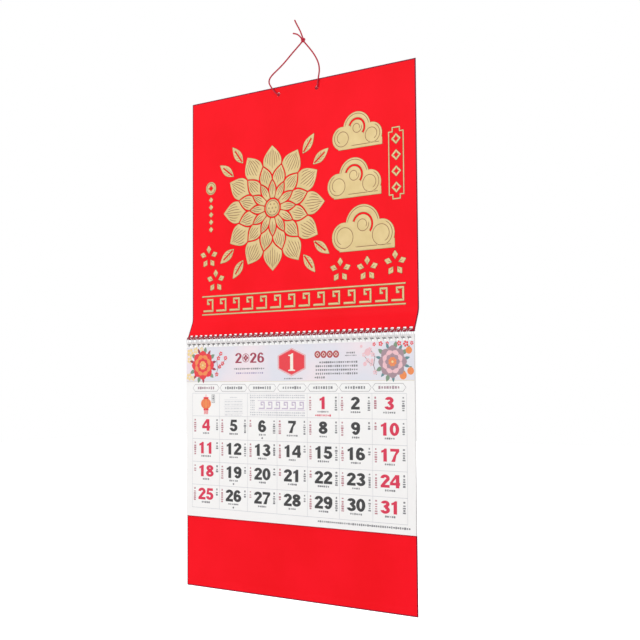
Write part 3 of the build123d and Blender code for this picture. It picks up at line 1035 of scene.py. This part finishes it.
# Print on the top page
def print_piece(name, meshes, ink, replaced=()):
    finish, own_slot = finishes[ink]
    finished(name, [curled(mesh) for mesh in meshes], page_face, finish, "pages", replaced)


def print_flats(name, flats, ink, replaced=(), layer=0):
    print_piece(name, [print_mesh(*flats, layer=layer)], ink, replaced)


def column_place(column):
    return column_pitch * (column - (column_count - 1) / 2)


# Numerals
def digit(number, size, stroke):
    """Plain bold figure, centred on X and standing on Y = 0. Its strokes are those at the sides and those
    at top and foot."""
    side, top = stroke
    wide = numeral_width * size

    def bow(y, width, height, start=0, turn=360):
        """Part of an oval ring."""
        outer = scaled(arc(1, start, turn, 32), wide * width / 2, size * height / 2)
        inner = scaled(arc(1, start + turn, -turn, 32), wide * (width / 2 - side), size * (height / 2 - top))
        return filled(outer + inner).moved(0, y * size)

    def shape(*points):
        return filled(scaled(points, wide, size))

    if number == 0:
        return bow(0.5, 0.78, 1.0)
    if number == 1:
        return shape((0.16 - side, 0), (0.16, 0), (0.16, 1), (-0.02, 1), (-0.08, 0.93), (-0.18, 0.87),
                     (-0.30, 0.84), (-0.30, 0.67), (-0.17, 0.69), (0.16 - side, 0.75))
    if number == 2:
        return bow(0.70, 0.76, 0.60, -28, 205) + shape(
            (-0.37, 0), (0.37, 0), (0.37, top), (-0.03, top), (0.345, 0.58), (0.345 - side, 0.66),
            (-0.37, top * 0.8))
    if number == 3:
        return (bow(0.735, 0.72, 0.53, -95, 260) + bow(0.285, 0.78, 0.57, -172, 265)
                + shape((-0.12, 0.47), (0.02, 0.45), (0.02, 0.45 + top), (-0.12, 0.61)))
    if number == 4:
        right = 0.07 + side
        return shape((0.07, 0), (right, 0), (right, 0.20), (0.41, 0.20), (0.41, 0.20 + top),
                     (right, 0.20 + top), (right, 1), (0.04, 1), (-0.41, 0.40), (-0.41, 0.20),
                     (0.07, 0.20)) - shape((0.07, 0.20 + top), (0.07, 0.71), (-0.18, 0.20 + top))
    if number == 5:
        return bow(0.33, 0.78, 0.66, -172, 300) + shape(
            (-0.25, 1), (0.33, 1), (0.33, 1 - top), (-0.07, 1 - top), (-0.09, 0.66), (0.02, 0.47),
            (-0.10, 0.47), (-0.33, 0.45))
    if number == 6:
        return bow(0.32, 0.78, 0.64) + bow(0.5, 0.78, 1.0, 38, 155)
    if number == 7:
        return shape((-0.36, 1), (0.37, 1), (0.37, 1 - top), (0.14, 0.5), (0.03, 0), (-side, 0),
                     (-0.09, 0.42), (0.11, 1 - top), (-0.36, 1 - top))
    if number == 8:
        return bow(0.745, 0.72, 0.51) + bow(0.285, 0.79, 0.57)
    return digit(6, size, stroke).moved(turn=180).moved(0, size)


def cell_of(day):
    """Middle of a day's numeral."""
    cell = day + first_cell - 1
    return column_place(cell % column_count), -(numeral_drop + row_pitch * (cell // column_count))


def is_rest_day(day):
    return (day + first_cell - 1) % column_count in (0, column_count - 1) or day == 1


def day_numerals():
    red, black = [], []
    step = numeral_height * numeral_advance
    for day in range(1, day_count + 1):
        x, y = cell_of(day)
        figures = str(day)
        for place, figure in enumerate(figures):
            shape = digit(int(figure), numeral_height, numeral_stroke)
            shape = shape.moved(x + step * (place - (len(figures) - 1) / 2), y - numeral_height / 2)
            (red if is_rest_day(day) else black).append(shape)
    print_flats("numerals_red", red, "crimson")
    print_flats("numerals_black", black, "black")


# Small print, as plain marks
day_mark_aside = 19.0
day_mark_head = 6.6
day_mark_top = 2.6
day_mark_pitch = 2.7
day_mark_tall = 3.9
day_mark_counts = (2, 4, 5, 5, 5)
day_line_drop = 10.8
day_line_counts = (4, 5, 5, 6)
head_mark = (3.0, 2.6)
line_mark = (2.9, 2.4)
festive_mark = (3.0, 2.5)
festive_drop = 15.2
dot_drop = 15.0
dot_radius = 1.25
dotted_days = (6, 19, 26)


def mark_row(x, y, count, pitch, tall, seed, turn=0.0, layer=0):
    """Row of marks centred on a place of the page, or a column of them if turned."""
    unit = print_mesh(rectangle(1, 1), layer=layer)
    return moved_mesh(grown(marks, unit, Count=count, Pitch=pitch, Tall=tall, Seed=seed), x, y, turn)


def day_marks():
    """Small print round each numeral: a column on each side and a line under it."""
    chance = random.Random(11)
    columns, under = {-1: [], 1: []}, []
    for day in range(1, day_count + 1):
        x, y = cell_of(day)
        for side, seed in ((-1, day), (1, day + 40)):
            count = chance.choice(day_mark_counts)
            aside = x + side * day_mark_aside
            middle = y + day_mark_top - day_mark_pitch / 2 * (count - 1)
            columns[side] += [mark_row(aside, y + day_mark_head, 1, *head_mark, seed, 90),
                              mark_row(aside, middle, count, day_mark_pitch, day_mark_tall, seed, 90)]
        under.append(mark_row(x, y - day_line_drop, chance.choice(day_line_counts), *line_mark, day + 80))
    x, y = cell_of(1)
    festive = mark_row(x, y - festive_drop, 8, *festive_mark, 121)
    dots = [disc(dot_radius, 16).moved(*cell_of(day)).moved(0, -dot_drop) for day in dotted_days]
    print_piece("marks_left", columns[-1], "dusk")
    print_piece("marks_right", columns[1], "grey")
    print_piece("marks_under", under + [print_mesh(*dots)], "grey")
    print_piece("marks_festive", [festive], "crimson")


# Flowers of the banner. A petal is given by its distance from the middle, its length and its width. The
# rings have a layer besides, and a turn in petals. Blossoms, fruits and spots are x, y and size
spray_places = (-146.0, 146.0)
spray_drop = 31.0
spray_petals = 8
spray_rings = ((4.0, 15.5, 13.0, 5, 0.0), (3.0, 11.5, 10.0, 6, 0.5), (2.0, 8.0, 7.0, 7, 0.0),
               (0.6, 5.2, 4.6, 8, 0.5))
spray_back = 0.72
spray_eye = 1.5
spray_inks = (("red", "orange", "amber", "wine", "wine", "red"),
              ("mauve", "blush", "orange", "dusk", "teal", "blush"))
spray_leaves = (35, 78, 142, 205, 250, 318)
spray_leaf = (9.5, 5.2, 4.4)
spray_leaf_root = 15.2
spray_fronds = (12, 56, 110, 165, 228, 272, 345)
spray_frond = (8.5, 3.6, 3.8)
spray_frond_root = 15.4
flower_inks = ("orange", "amber", "mauve", "red", "wine", "dusk", "leaf", "yellow", "twig", "blush", "teal")
petal_inks = ("orange", "mauve", "red", "blush", "amber")
twig_run = ((22, -15), (26, -4), (24, 6), (30, 15))
twig_offshoot = ((26, -4), (34, 1), (39, 8))
twig_width = 0.75
twig_offshoot_width = 0.6
twig_blossoms = ((-27, 9), (-31, 15), (-34, 2), (-39, 9), (-24, -12), (-29, -2))
twig_petal = (0.5, 2.5, 2.2)
yellow_blossoms = ((-168, -14, 1.3), (-158, -11, 1.0), (-169, -24, 1.0), (-170, -46, 1.1),
                   (-163, -48, 0.8), (-148, -9.5, 0.7))
yellow_petal = (0.6, 4.0, 3.4)
red_blossoms = ((121, -10, 0.7), (130, -9.6, 0.9), (139, -9.4, 0.7), (155, -9.6, 0.9), (164, -10.4, 1.1),
                (172, -9.8, 0.7))
red_petal = (0.5, 3.0, 2.6)
fruits = ((168, -18, 4.2), (160, -47, 4.8), (170, -42, 4.4))
blush_spots = ((112, -19, 4.4), (118, -29, 2.2), (108, -33, 2.6), (103, -12, 1.8))


def petal_ring(count, inner, length, width, layer, start=0.0, gap=0.25):
    """Ring of round petals about the origin, each standing off it and clear of its neighbours."""
    edge = (inner + length + 1) * 1.2
    turn = math.pi / count
    corners = [(side * edge * math.sin(turn), edge * math.cos(turn)) for side in (1, -1)]
    wedge = filled([(0, 0)] + corners).moved(0, gap / 2 / math.sin(turn))
    unit = print_mesh(round_petal(length, width).moved(0, inner) & wedge, layer=layer)
    return grown(ring, unit, Count=count, Start=math.radians(start))


def banner_flowers():
    """A layered flower with leaves at each end of the banner, and a branch of small blossoms beside it."""
    parts = {ink: [] for ink in flower_inks}
    y = -spray_drop
    leaf = print_mesh(filled(petal_outline(*spray_leaf)).moved(0, spray_leaf_root), layer=3)
    frond = print_mesh(filled(petal_outline(*spray_frond)).moved(0, spray_frond_root), layer=2.5)
    for side, x, names in zip((-1, 1), spray_places, spray_inks):
        under, over, heart, shade, frond_ink, blossom_ink = names
        for ink, (inner, length, width, layer, turn) in zip((under, over, under, heart), spray_rings):
            back = print_mesh(disc(inner + length * spray_back, 40), layer=layer - 0.5)
            petals = petal_ring(spray_petals, inner, length, width, layer, turn * 360.0 / spray_petals)
            parts[shade].append(moved_mesh(back, x, y))
            parts[ink].append(moved_mesh(petals, x, y))
        parts["yellow"].append(moved_mesh(print_mesh(disc(spray_eye, 20), layer=9), x, y))
        parts["leaf"] += [moved_mesh(leaf, x, y, turn - 90) for turn in spray_leaves]
        parts[frond_ink] += [moved_mesh(frond, x, y, turn - 90) for turn in spray_fronds]
        twig, offshoot = [shifted(scaled(run, -side, 1), x, y) for run in (twig_run, twig_offshoot)]
        branch = stroke_of(twig, twig_width) + stroke_of(offshoot, twig_offshoot_width)
        parts["twig"].append(print_mesh(branch, layer=2))
        for place, spot in enumerate(shifted(scaled(twig_blossoms, side, 1), x, y)):
            blossom = petal_ring(5, *twig_petal, 3, 17.0 * place)
            parts[blossom_ink].append(moved_mesh(blossom, *spot))
    for ink, blossoms, petal in (("yellow", yellow_blossoms, yellow_petal), ("red", red_blossoms, red_petal)):
        for x, y, size in blossoms:
            parts[ink].append(moved_mesh(petal_ring(5, *petal, 2, x), x, y, size=size))
    for x, y, size in fruits:
        parts["orange"].append(print_mesh(disc(size, 24).moved(x, y), layer=4 - 0.1 * size))
        parts["leaf"].append(print_mesh(rectangle(size * 0.7, 1.2).moved(x, y + size + 0.4), layer=4))
    parts["blush"] += [print_mesh(disc(size, 24).moved(x, y), layer=1) for x, y, size in blush_spots]
    for ink, meshes in parts.items():
        print_piece("banner_" + ink, meshes, ink, ("banner_sprays",) if ink in petal_inks else ())


# Words of the banner. Rows of marks are given by x, y, count, pitch, height and seed
year_middle = -67.0
year_foot = -28.9
year_height = 13.0
year_step = 12.2
year_stroke = (0.25, 0.13)
year_figures = ((-1.5, 2), (0.5, 2), (1.5, 6))
year_ring = (5.7, 4.9)
year_ring_rise = 6.5
year_lozenge = 4.2
year_lozenge_reach = 2.4
medallion_places = [(39.4 + 9.1 * place, -20.4) for place in range(4)]
medallion_radius = 4.5
medallion_lozenge = (5.4, 3.6)
banner_rows = [(-68, -36.4, 16, 3.2, 2.4, 201), (88, -19.2, 5, 2.6, 2.0, 203), (88, -22.4, 9, 1.9, 1.3, 204),
               (2.5, -49.6, 12, 2.4, 1.9, 205)]
text_lines = ((69.7, 18), (67.0, 20), (67.0, 20), (67.0, 20), (42.5, 5))
banner_rows += [(x, -30.2 - 4.6 * place, count, 3.1, 2.6, 210 + place)
                for place, (x, count) in enumerate(text_lines)]
violet_row = (-67, -42.0, 15, 3.0, 2.3, 202)
foot_row = (103, -222.9, 44, 2.95, 2.7, 500)


def banner_words():
    """Year, small medallions and plain lines of marks."""
    year = [digit(figure, year_height, year_stroke).moved(year_middle + place * year_step, year_foot)
            for place, figure in year_figures]
    outer, inner = [disc(radius, 36) for radius in year_ring]
    eye = [lozenge(year_lozenge, year_lozenge).moved(x * year_lozenge_reach, y * year_lozenge_reach)
           for x, y in ((0, 1), (1, 0), (-1, 0), (0, -1))]
    year += [flat.moved(year_middle - 0.5 * year_step, year_foot + year_ring_rise)
             for flat in [outer - inner] + eye]
    print_flats("year_print", year, "wine", layer=1)
    outer, inner = [lozenge(size, size) for size in medallion_lozenge]
    medallions = [disc(medallion_radius, 30).moved(*place) for place in medallion_places]
    print_flats("medallions", medallions, "brick", layer=1)
    lines = [(outer - inner).moved(*place) for place in medallion_places]
    print_flats("medallion_lines", lines, "cream", layer=2)
    print_piece("banner_marks", [mark_row(*run, layer=1) for run in banner_rows], "grey")
    print_piece("banner_marks_violet", [mark_row(*violet_row, layer=1)], "violet")


def month_badge():
    """Hexagon with its rim, a thin line in the rim and a figure one."""
    width, height = badge_size

    def badge(inset):
        return hexagon(width - 2 * inset, height - 2 * inset).moved(0, -badge_drop)

    start, end = badge_line
    one = [(-0.24, 0), (0.24, 0), (0.24, 0.05), (0.11, 0.09), (0.11, 1), (0.05, 1), (-0.08, 0.93),
           (-0.24, 0.90), (-0.24, 0.86), (-0.10, 0.83), (-0.10, 0.09), (-0.24, 0.05)]
    figure = filled(scaled(one, badge_figure, badge_figure)).moved(0, -badge_drop - badge_figure / 2)
    print_flats("badge_rim", [badge(0) - badge(badge_frame)], "rose", ("badge_border",), layer=1)
    print_flats("badge_line", [badge(start) - badge(end)], "cream", layer=2)
    print_flats("badge_print", [badge(badge_frame)], "red", ("month_badge",), layer=1)
    print_flats("badge_figure", [figure], "cream", layer=2)


# Grid, and what lies in its first row
def weekday_labels():
    """A pointed frame over each column, with marks for its word."""
    width, height = label_size
    label = pointed_label(width, height, label_point)
    inside = pointed_label(width - 2 * label_line, height - 2 * label_line, label_point - 0.2)
    places = [(column_place(column), -label_drop) for column in range(column_count)]
    words = [mark_row(*place, 8, 3.7, 3.9, 400 + column, layer=1) for column, place in enumerate(places)]
    print_flats("label_fields", [inside.moved(*place) for place in places], "white", ("weekday_labels",))
    print_flats("label_frames", [(label - inside).moved(*place) for place in places], "label",
                ("weekday_labels",))
    print_piece("label_marks_mauve", [words[0], words[-1]], "mauve")
    print_piece("label_marks_grey", words[1:-1], "grey")


def grid_lines():
    rule = rectangle(column_pitch * column_count, grid_line)
    rules = [rule.moved(0, -grid_foot + row_pitch * line) for line in range(row_count + 1)]
    post = rectangle(post_line, grid_foot - grid_head).moved(-column_pitch / 2, -(grid_foot + grid_head) / 2)
    posts = [post.moved(column_place(column)) for column in range(column_count + 1)]
    print_flats("row_lines", rules, "line", ("row_rules",))
    print_flats("column_lines", posts, "line", layer=1)


first_row_middle = -grid_head - row_pitch / 2
table_pitch = 4.4
table_width = 32
panel_rows = (12.4, 9.6, -9.4, -12.4)
panel_rules = (5.9, -6.3)
panel_rule_size = (74, 0.5)
fret_size = 9.4
fret_line = 1.5
fret_pitch = 12.2
lantern_size = (17.6, 14.2)
lantern_rise = 1.2
lantern_ribs = (13.2, 7.4)
lantern_cap = (8.6, 2.2)
lantern_cap_rise = 7.6
tassel_size = (0.8, 5.2)
tassel_pitch = 1.5
tag_size = (5.4, 10.8)
tag_line = 0.6
tag_place = (12.6, 6.6)


def first_row_boxes():
    """Pale table and pale panel in the empty cells of the first row."""
    middle = first_row_middle
    x = column_place(1)
    pale = [mark_row(x, middle + 9.6, 7, 1.8, 1.2, 301)]
    for place in range(5):
        drop = table_pitch * place
        pale.append(print_mesh(rectangle(table_width, 0.3).moved(x, middle + 6.6 - drop)))
        pale.append(mark_row(x, middle + 4.4 - drop, 12, 2.5, 1.4, 302 + place))
    x = (column_place(2) + column_place(3)) / 2
    for place, y in enumerate(panel_rows):
        pale.append(mark_row(x, middle + y, 30, 2.9, 1.9, 320 + place))
    pale += [mark_row(x - 39, middle + 5.6 - 2.9 * place, 3, 2.6, 1.9, 330 + place) for place in range(5)]
    fret = filled(key_outline(fret_size, fret_line))
    lines = [fret.moved(x - 24 + fret_pitch * place, middle - 0.2) for place in range(6)]
    lines += [rectangle(*panel_rule_size).moved(x + 6.5, middle + y) for y in panel_rules]
    print_piece("table_marks", pale, "pale")
    print_flats("fret_lines", lines, "lilac")


def cell_picture():
    """Small lantern in the first cell, with a tag beside it."""
    x, y = column_place(0), first_row_middle + lantern_rise
    width, height = lantern_size
    print_flats("lantern_body", [oval(width, height).moved(x, y)], "orange", ("first_row_picture",))
    ribs = [(oval(rib, height) - oval(rib - 1.1, height - 1.0)).moved(x, y) for rib in lantern_ribs]
    trim = [rectangle(*lantern_cap).moved(x, y + side * lantern_cap_rise) for side in (-1, 1)]
    trim.append(rectangle(0.8, 3.6).moved(x, y + 10.4))
    trim += [rectangle(*tassel_size).moved(x + tassel_pitch * (place - 2), y - 11.2) for place in range(5)]
    print_piece("lantern_trim", [print_mesh(*trim), print_mesh(*ribs, layer=1)], "red",
                ("first_row_picture",))
    tag = rectangle(*tag_size) - rectangle(*[size - 2 * tag_line for size in tag_size])
    x, y = x + tag_place[0], y + tag_place[1]
    print_piece("cell_tag", [print_mesh(tag.moved(x, y)), mark_row(x, y, 3, 2.9, 2.6, 340, 90)], "grey")


def page_print():
    """Everything printed on the top page."""
    width = sheet_width - 2 * print_margin
    field = rectangle(width, banner_foot - banner_head).moved(0, -(banner_foot + banner_head) / 2)
    print_flats("banner_print", [field], "banner", ("banner_field",))
    print_flats("banner_line", [rectangle(width, 0.5).moved(0, -banner_foot)], "straw", layer=0.5)
    month_badge()
    weekday_labels()
    grid_lines()
    day_numerals()
    day_marks()
    banner_flowers()
    banner_words()
    first_row_boxes()
    cell_picture()
    print_piece("foot_marks", [mark_row(*foot_row)], "grey")


# Lines in space
def carried(path, closed=False):
    """Each point of a path with two directions square to it, carried along without twist."""
    count = len(path)
    side = (path[1] - path[0]).orthogonal().normalized()
    frames = []
    for index, centre in enumerate(path):
        before = path[index - 1] if index or closed else path[0]
        after = path[(index + 1) % count] if index + 1 < count or closed else path[-1]
        ahead = (after - before).normalized()
        side = (side - ahead * side.dot(ahead)).normalized()
        frames.append((centre, side, ahead.cross(side)))
    return frames


def tube(path, radius, sides, closed=False):
    """Round tube along points."""
    count = len(path)
    spots = [centre + side * x + up * y for centre, side, up in carried(path, closed)
             for x, y in arc(radius, 0, 360, sides)[:-1]]
    faces = []
    for first in range(0, (count if closed else count - 1) * sides, sides):
        second = (first + sides) % (count * sides)
        faces += [[first + a, first + b, second + b, second + a] for a, b in chained(sides)]
    if not closed:
        faces += [list(reversed(range(sides))), list(range((count - 1) * sides, count * sides))]
    return spots, faces


def runs_of(line):
    """How far along a line each of its points is."""
    steps = [(end - start).length for start, end in zip(line, line[1:])]
    return np.cumsum([0.0] + steps)


# Binding wire
def loop_path():
    """One twin loop of the wire, from halfway before it to halfway after it, along X and round the hinge.
    It is drawn flat, X against the way round, and then wrapped to the loop's radius."""
    reach = math.radians(strand_root - strand_tip) * loop_radius
    gap = strand_half_gap
    flat = [(-loop_pitch / 2, 0.0)] + shifted(arc(strand_bend, -90, 90, 4), -gap - strand_bend, strand_bend)
    flat += [(-gap, height) for height in np.linspace(strand_bend, reach - gap, 30)[1:]]
    flat += shifted(arc(gap, 180, -180, 8)[1:-1], 0, reach - gap) + mirrored(flat)
    turns = [math.radians(strand_root) - height / loop_radius for _, height in flat]
    return [Vector((x, loop_radius * math.cos(turn), loop_radius * math.sin(turn)))
            for (x, _), turn in zip(flat, turns)]


def binding_wire():
    wire = white_wire()
    loop = mesh_of("loop", *tube(loop_path(), wire_radius, 8))
    mesh = grown(row, loop, Count=loop_count, Pitch=loop_pitch, Material=wire)
    place = Matrix.Translation(hinge) @ Matrix.Scale(MM, 4)
    finished("twin_loop_wire", [mesh], place, wire, "head", ("binding_wire",))


# String. Its routes are in millimetres off the middle of the top board's upper edge
right_leg_route = [(32.7, 1.3, -11.5), (35.25, -1.1, -10.75), (35.1, -0.6, -5.6), (36.4, -0.1, 1.5),
                   (37.9, 0.1, 10.5), (36.6, 0.0, 19.6), (30.9, -0.2, 30.6), (23.4, -0.1, 40.4),
                   (13.8, 0.0, 51.6)]
left_leg_route = [(-27.1, 1.3, -10.0), (-29.65, -1.1, -9.1), (-33.5, -0.7, -4.6), (-38.6, -0.2, 1.3),
                  (-42.4, 0.0, 7.6), (-41.2, 0.2, 13.2), (-35.4, 0.2, 18.1), (-26.9, 0.0, 22.8),
                  (-16.8, -0.1, 29.4), (-6.0, -0.1, 38.2), (4.3, 0.0, 46.0), (12.0, 0.0, 52.0)]
long_tail_route = [(13.0, 0.2, 54.2), (10.6, 0.2, 61.0), (7.4, 0.0, 68.4), (3.2, -0.2, 75.6),
                   (0.0, -0.2, 82.0)]
short_tail_route = [(11.8, -0.4, 54.6), (7.6, -0.6, 59.8), (3.0, -0.6, 63.4), (-2.6, -0.4, 65.0)]
back_run_route = [(-27.1, 1.3, -10.0), (-25.4, 2.9, -10.6), (-18.6, 2.9, -12.0), (-5.0, 2.7, -14.0),
                  (10.0, 2.7, -14.6), (24.0, 2.9, -13.2), (31.0, 2.9, -12.0), (32.7, 1.3, -11.5)]
knot_centre = (12.9, 0.0, 53.4)
stop_centres = {"right": (31.8, 2.6, -11.5), "left": (-28.0, 2.6, -10.0)}
knot_size = (0.80, 0.9, 0.85)
stop_size = (0.85, 0.35, 0.6)
string_spacing = 0.4
strand_radius = 0.52
strand_offset = 0.52
strand_count = 3
strand_lay = 5.5


def string_point(x, y, z):
    return Vector((middle_x + x * MM, y * MM, board_high.z + z * MM))


def route_line(points):
    """Points along the smooth line of a route, evenly spaced: a NURBS spline of order 3, read back."""
    curve = bpy.data.curves.new("route", "CURVE")
    curve.dimensions = "3D"
    spline = curve.splines.new("NURBS")
    spline.points.add(len(points) - 1)
    for place, spot in zip(spline.points, points):
        place.co = (*string_point(*spot), 1)
    spline.order_u = 3
    spline.use_endpoint_u = True
    spline.resolution_u = 24
    line = [vert.co.copy() for vert in made_mesh(linked("route", curve)).vertices]
    runs = runs_of(line)
    places = np.linspace(0, runs[-1], round(runs[-1] / (string_spacing * MM)) + 1)
    return [Vector(spot) for spot in zip(*[np.interp(places, runs, part) for part in zip(*line)])]


def twisted(path):
    """Strands laid round a line, each with one turn in every lay."""
    strands = []
    for strand in range(strand_count):
        points = []
        for (centre, side, up), run in zip(carried(path), runs_of(path)):
            turn = math.tau * (run / (strand_lay * MM) + strand / strand_count)
            points.append(centre + (side * math.cos(turn) + up * math.sin(turn)) * strand_offset * MM)
        strands.append(tube(points, strand_radius * MM, 8))
    return mesh_of("cord", *gathered(strands))


def string_piece(name, route, replaced):
    """Twisted cord along a route."""
    line = route_line(route)
    piece = finished(name, [twisted(line)], Matrix.Identity(4), cord, "head", replaced)


def knot(name, centre, size, replaced=()):
    """Tight overhand knot: the closed run of a trefoil, by its size, its depth and its cord's radius."""
    across, depth, radius = size
    points = [Vector((across * (math.sin(turn) + 2 * math.sin(2 * turn)), depth * math.sin(3 * turn),
                      across * (math.cos(turn) - 2 * math.cos(2 * turn))))
              for turn in np.linspace(0, math.tau, 121)[:-1]]
    mesh = mesh_of("knot", *tube(points, radius, 10, closed=True))
    place = Matrix.Translation(string_point(*centre)) @ Matrix.Scale(MM, 4)
    return finished(name, [mesh], place, cord, "head", replaced)


def hanging_string():
    """The cord, its knot at the top, and a flat stop knot behind each hole of the board."""
    top = knot("cord_knot", knot_centre, knot_size, ("string_knot",))
    stops = [knot("stop_knot_" + side, centre, stop_size) for side, centre in stop_centres.items()]
    string_piece("cord_right", right_leg_route + long_tail_route,
                 ("string_right_leg", "string_long_tail"))
    string_piece("cord_left", left_leg_route + short_tail_route,
                 ("string_left_leg", "string_short_tail"))
    string_piece("cord_behind", back_run_route, ("string_back_run",))


# Stage
floor_half = 8.0
floor_drop = 0.35
world_light = 0.62
camera_azimuth = 34.52
camera_lift = 3.43
camera_roll = -0.44
camera_lens = 57.05
camera_place = (0.7347, -1.0357, -0.4286)


def floor():
    """Pale floor under the object. To the camera it whitens away from the object, where no shadow falls."""
    corners = [(x * floor_half, y * floor_half, 0) for x, y in ((-1, -1), (1, -1), (1, 1), (-1, 1))]
    piece = linked("floor", mesh_of("floor", corners, [[0, 1, 2, 3]]))
    piece.location = (0, 0, back_low.z - floor_drop)
    finish = Finish("floor", (0.82, 0.82, 0.82), 0.9, Specular_IOR_Level=0.1, Emission_Color=(1, 1, 1))
    seen = finish.add("ShaderNodeLightPath").outputs["Is Camera Ray"]
    away = finish.add("ShaderNodeVectorMath", {0: finish.place()}, operation="LENGTH").outputs["Value"]
    glow = finish.ramp(away, 0.4, 1.4, low=0.25, interpolation_type="SMOOTHSTEP")
    finish.set("Emission Strength", finish.maths("MULTIPLY", seen, glow))
    piece.data.materials.append(finish.material)


def world():
    """White to the camera and in reflections, softer as a light."""
    made = bpy.data.worlds.new("world")
    made.use_nodes = True
    sky = Tree(made.node_tree)
    path = sky.add("ShaderNodeLightPath").outputs
    seen = sky.maths("MAXIMUM", path["Is Camera Ray"], path["Is Glossy Ray"])
    seen = sky.maths("MAXIMUM", seen, path["Is Transmission Ray"])
    back = made.node_tree.nodes["Background"].inputs
    sky.put((1, 1, 1), back["Color"])
    sky.put(sky.ramp(seen, 0.0, 1.0, low=world_light), back["Strength"])
    bpy.context.scene.world = made


def lamp(name, place, aim, size, power):
    light = bpy.data.lights.new(name, "AREA")
    light.shape = "SQUARE"
    light.size = size
    light.energy = power
    piece = linked(name, light)
    piece.location = place
    piece.rotation_mode = "QUATERNION"
    piece.rotation_quaternion = (Vector(aim) - Vector(place)).to_track_quat("-Z", "Y")


def camera():
    """At the photograph's angle: from the right, level with the middle and looking a little up."""
    azimuth, lift, roll = [math.radians(turn) for turn in (camera_azimuth, camera_lift, camera_roll)]
    ahead = Vector((-math.sin(azimuth) * math.cos(lift), math.cos(azimuth) * math.cos(lift), math.sin(lift)))
    right = Vector((math.cos(azimuth), math.sin(azimuth), 0))
    level = Matrix((right, right.cross(ahead), -ahead)).transposed()
    data = bpy.data.cameras.new("camera")
    data.sensor_width = 36.0
    data.lens = camera_lens
    piece = linked("camera", data)
    piece.location = camera_place
    piece.rotation_euler = (level @ Matrix.Rotation(roll, 3, "Z")).to_euler()
    bpy.context.scene.camera = piece


card = red_card()
for node in ("top_board", "back_board"):
    for slot in frame["nodes"][node].material_slots:
        slot.material = card
foil_flower()
foil_leaves()
foil_clouds()
foil_blossoms()
foil_border()
foil_cartouche()
foil_pendant()
pad_of_pages()
page_print()
binding_wire()
hanging_string()
floor()
world()
lamp("key", (-0.9, -2.4, 0.5), (0, 0, -0.4), 1.8, 29.5)
lamp("fill", (2.2, -1.6, 0.0), (0, 0, -0.35), 1.6, 7)
lamp("behind", (0.5, 2.4, 0.5), (0, 0, -0.35), 1.6, 10)
camera()

bpy.context.scene.view_settings.view_transform = "Standard"
bpy.context.view_layer.update()
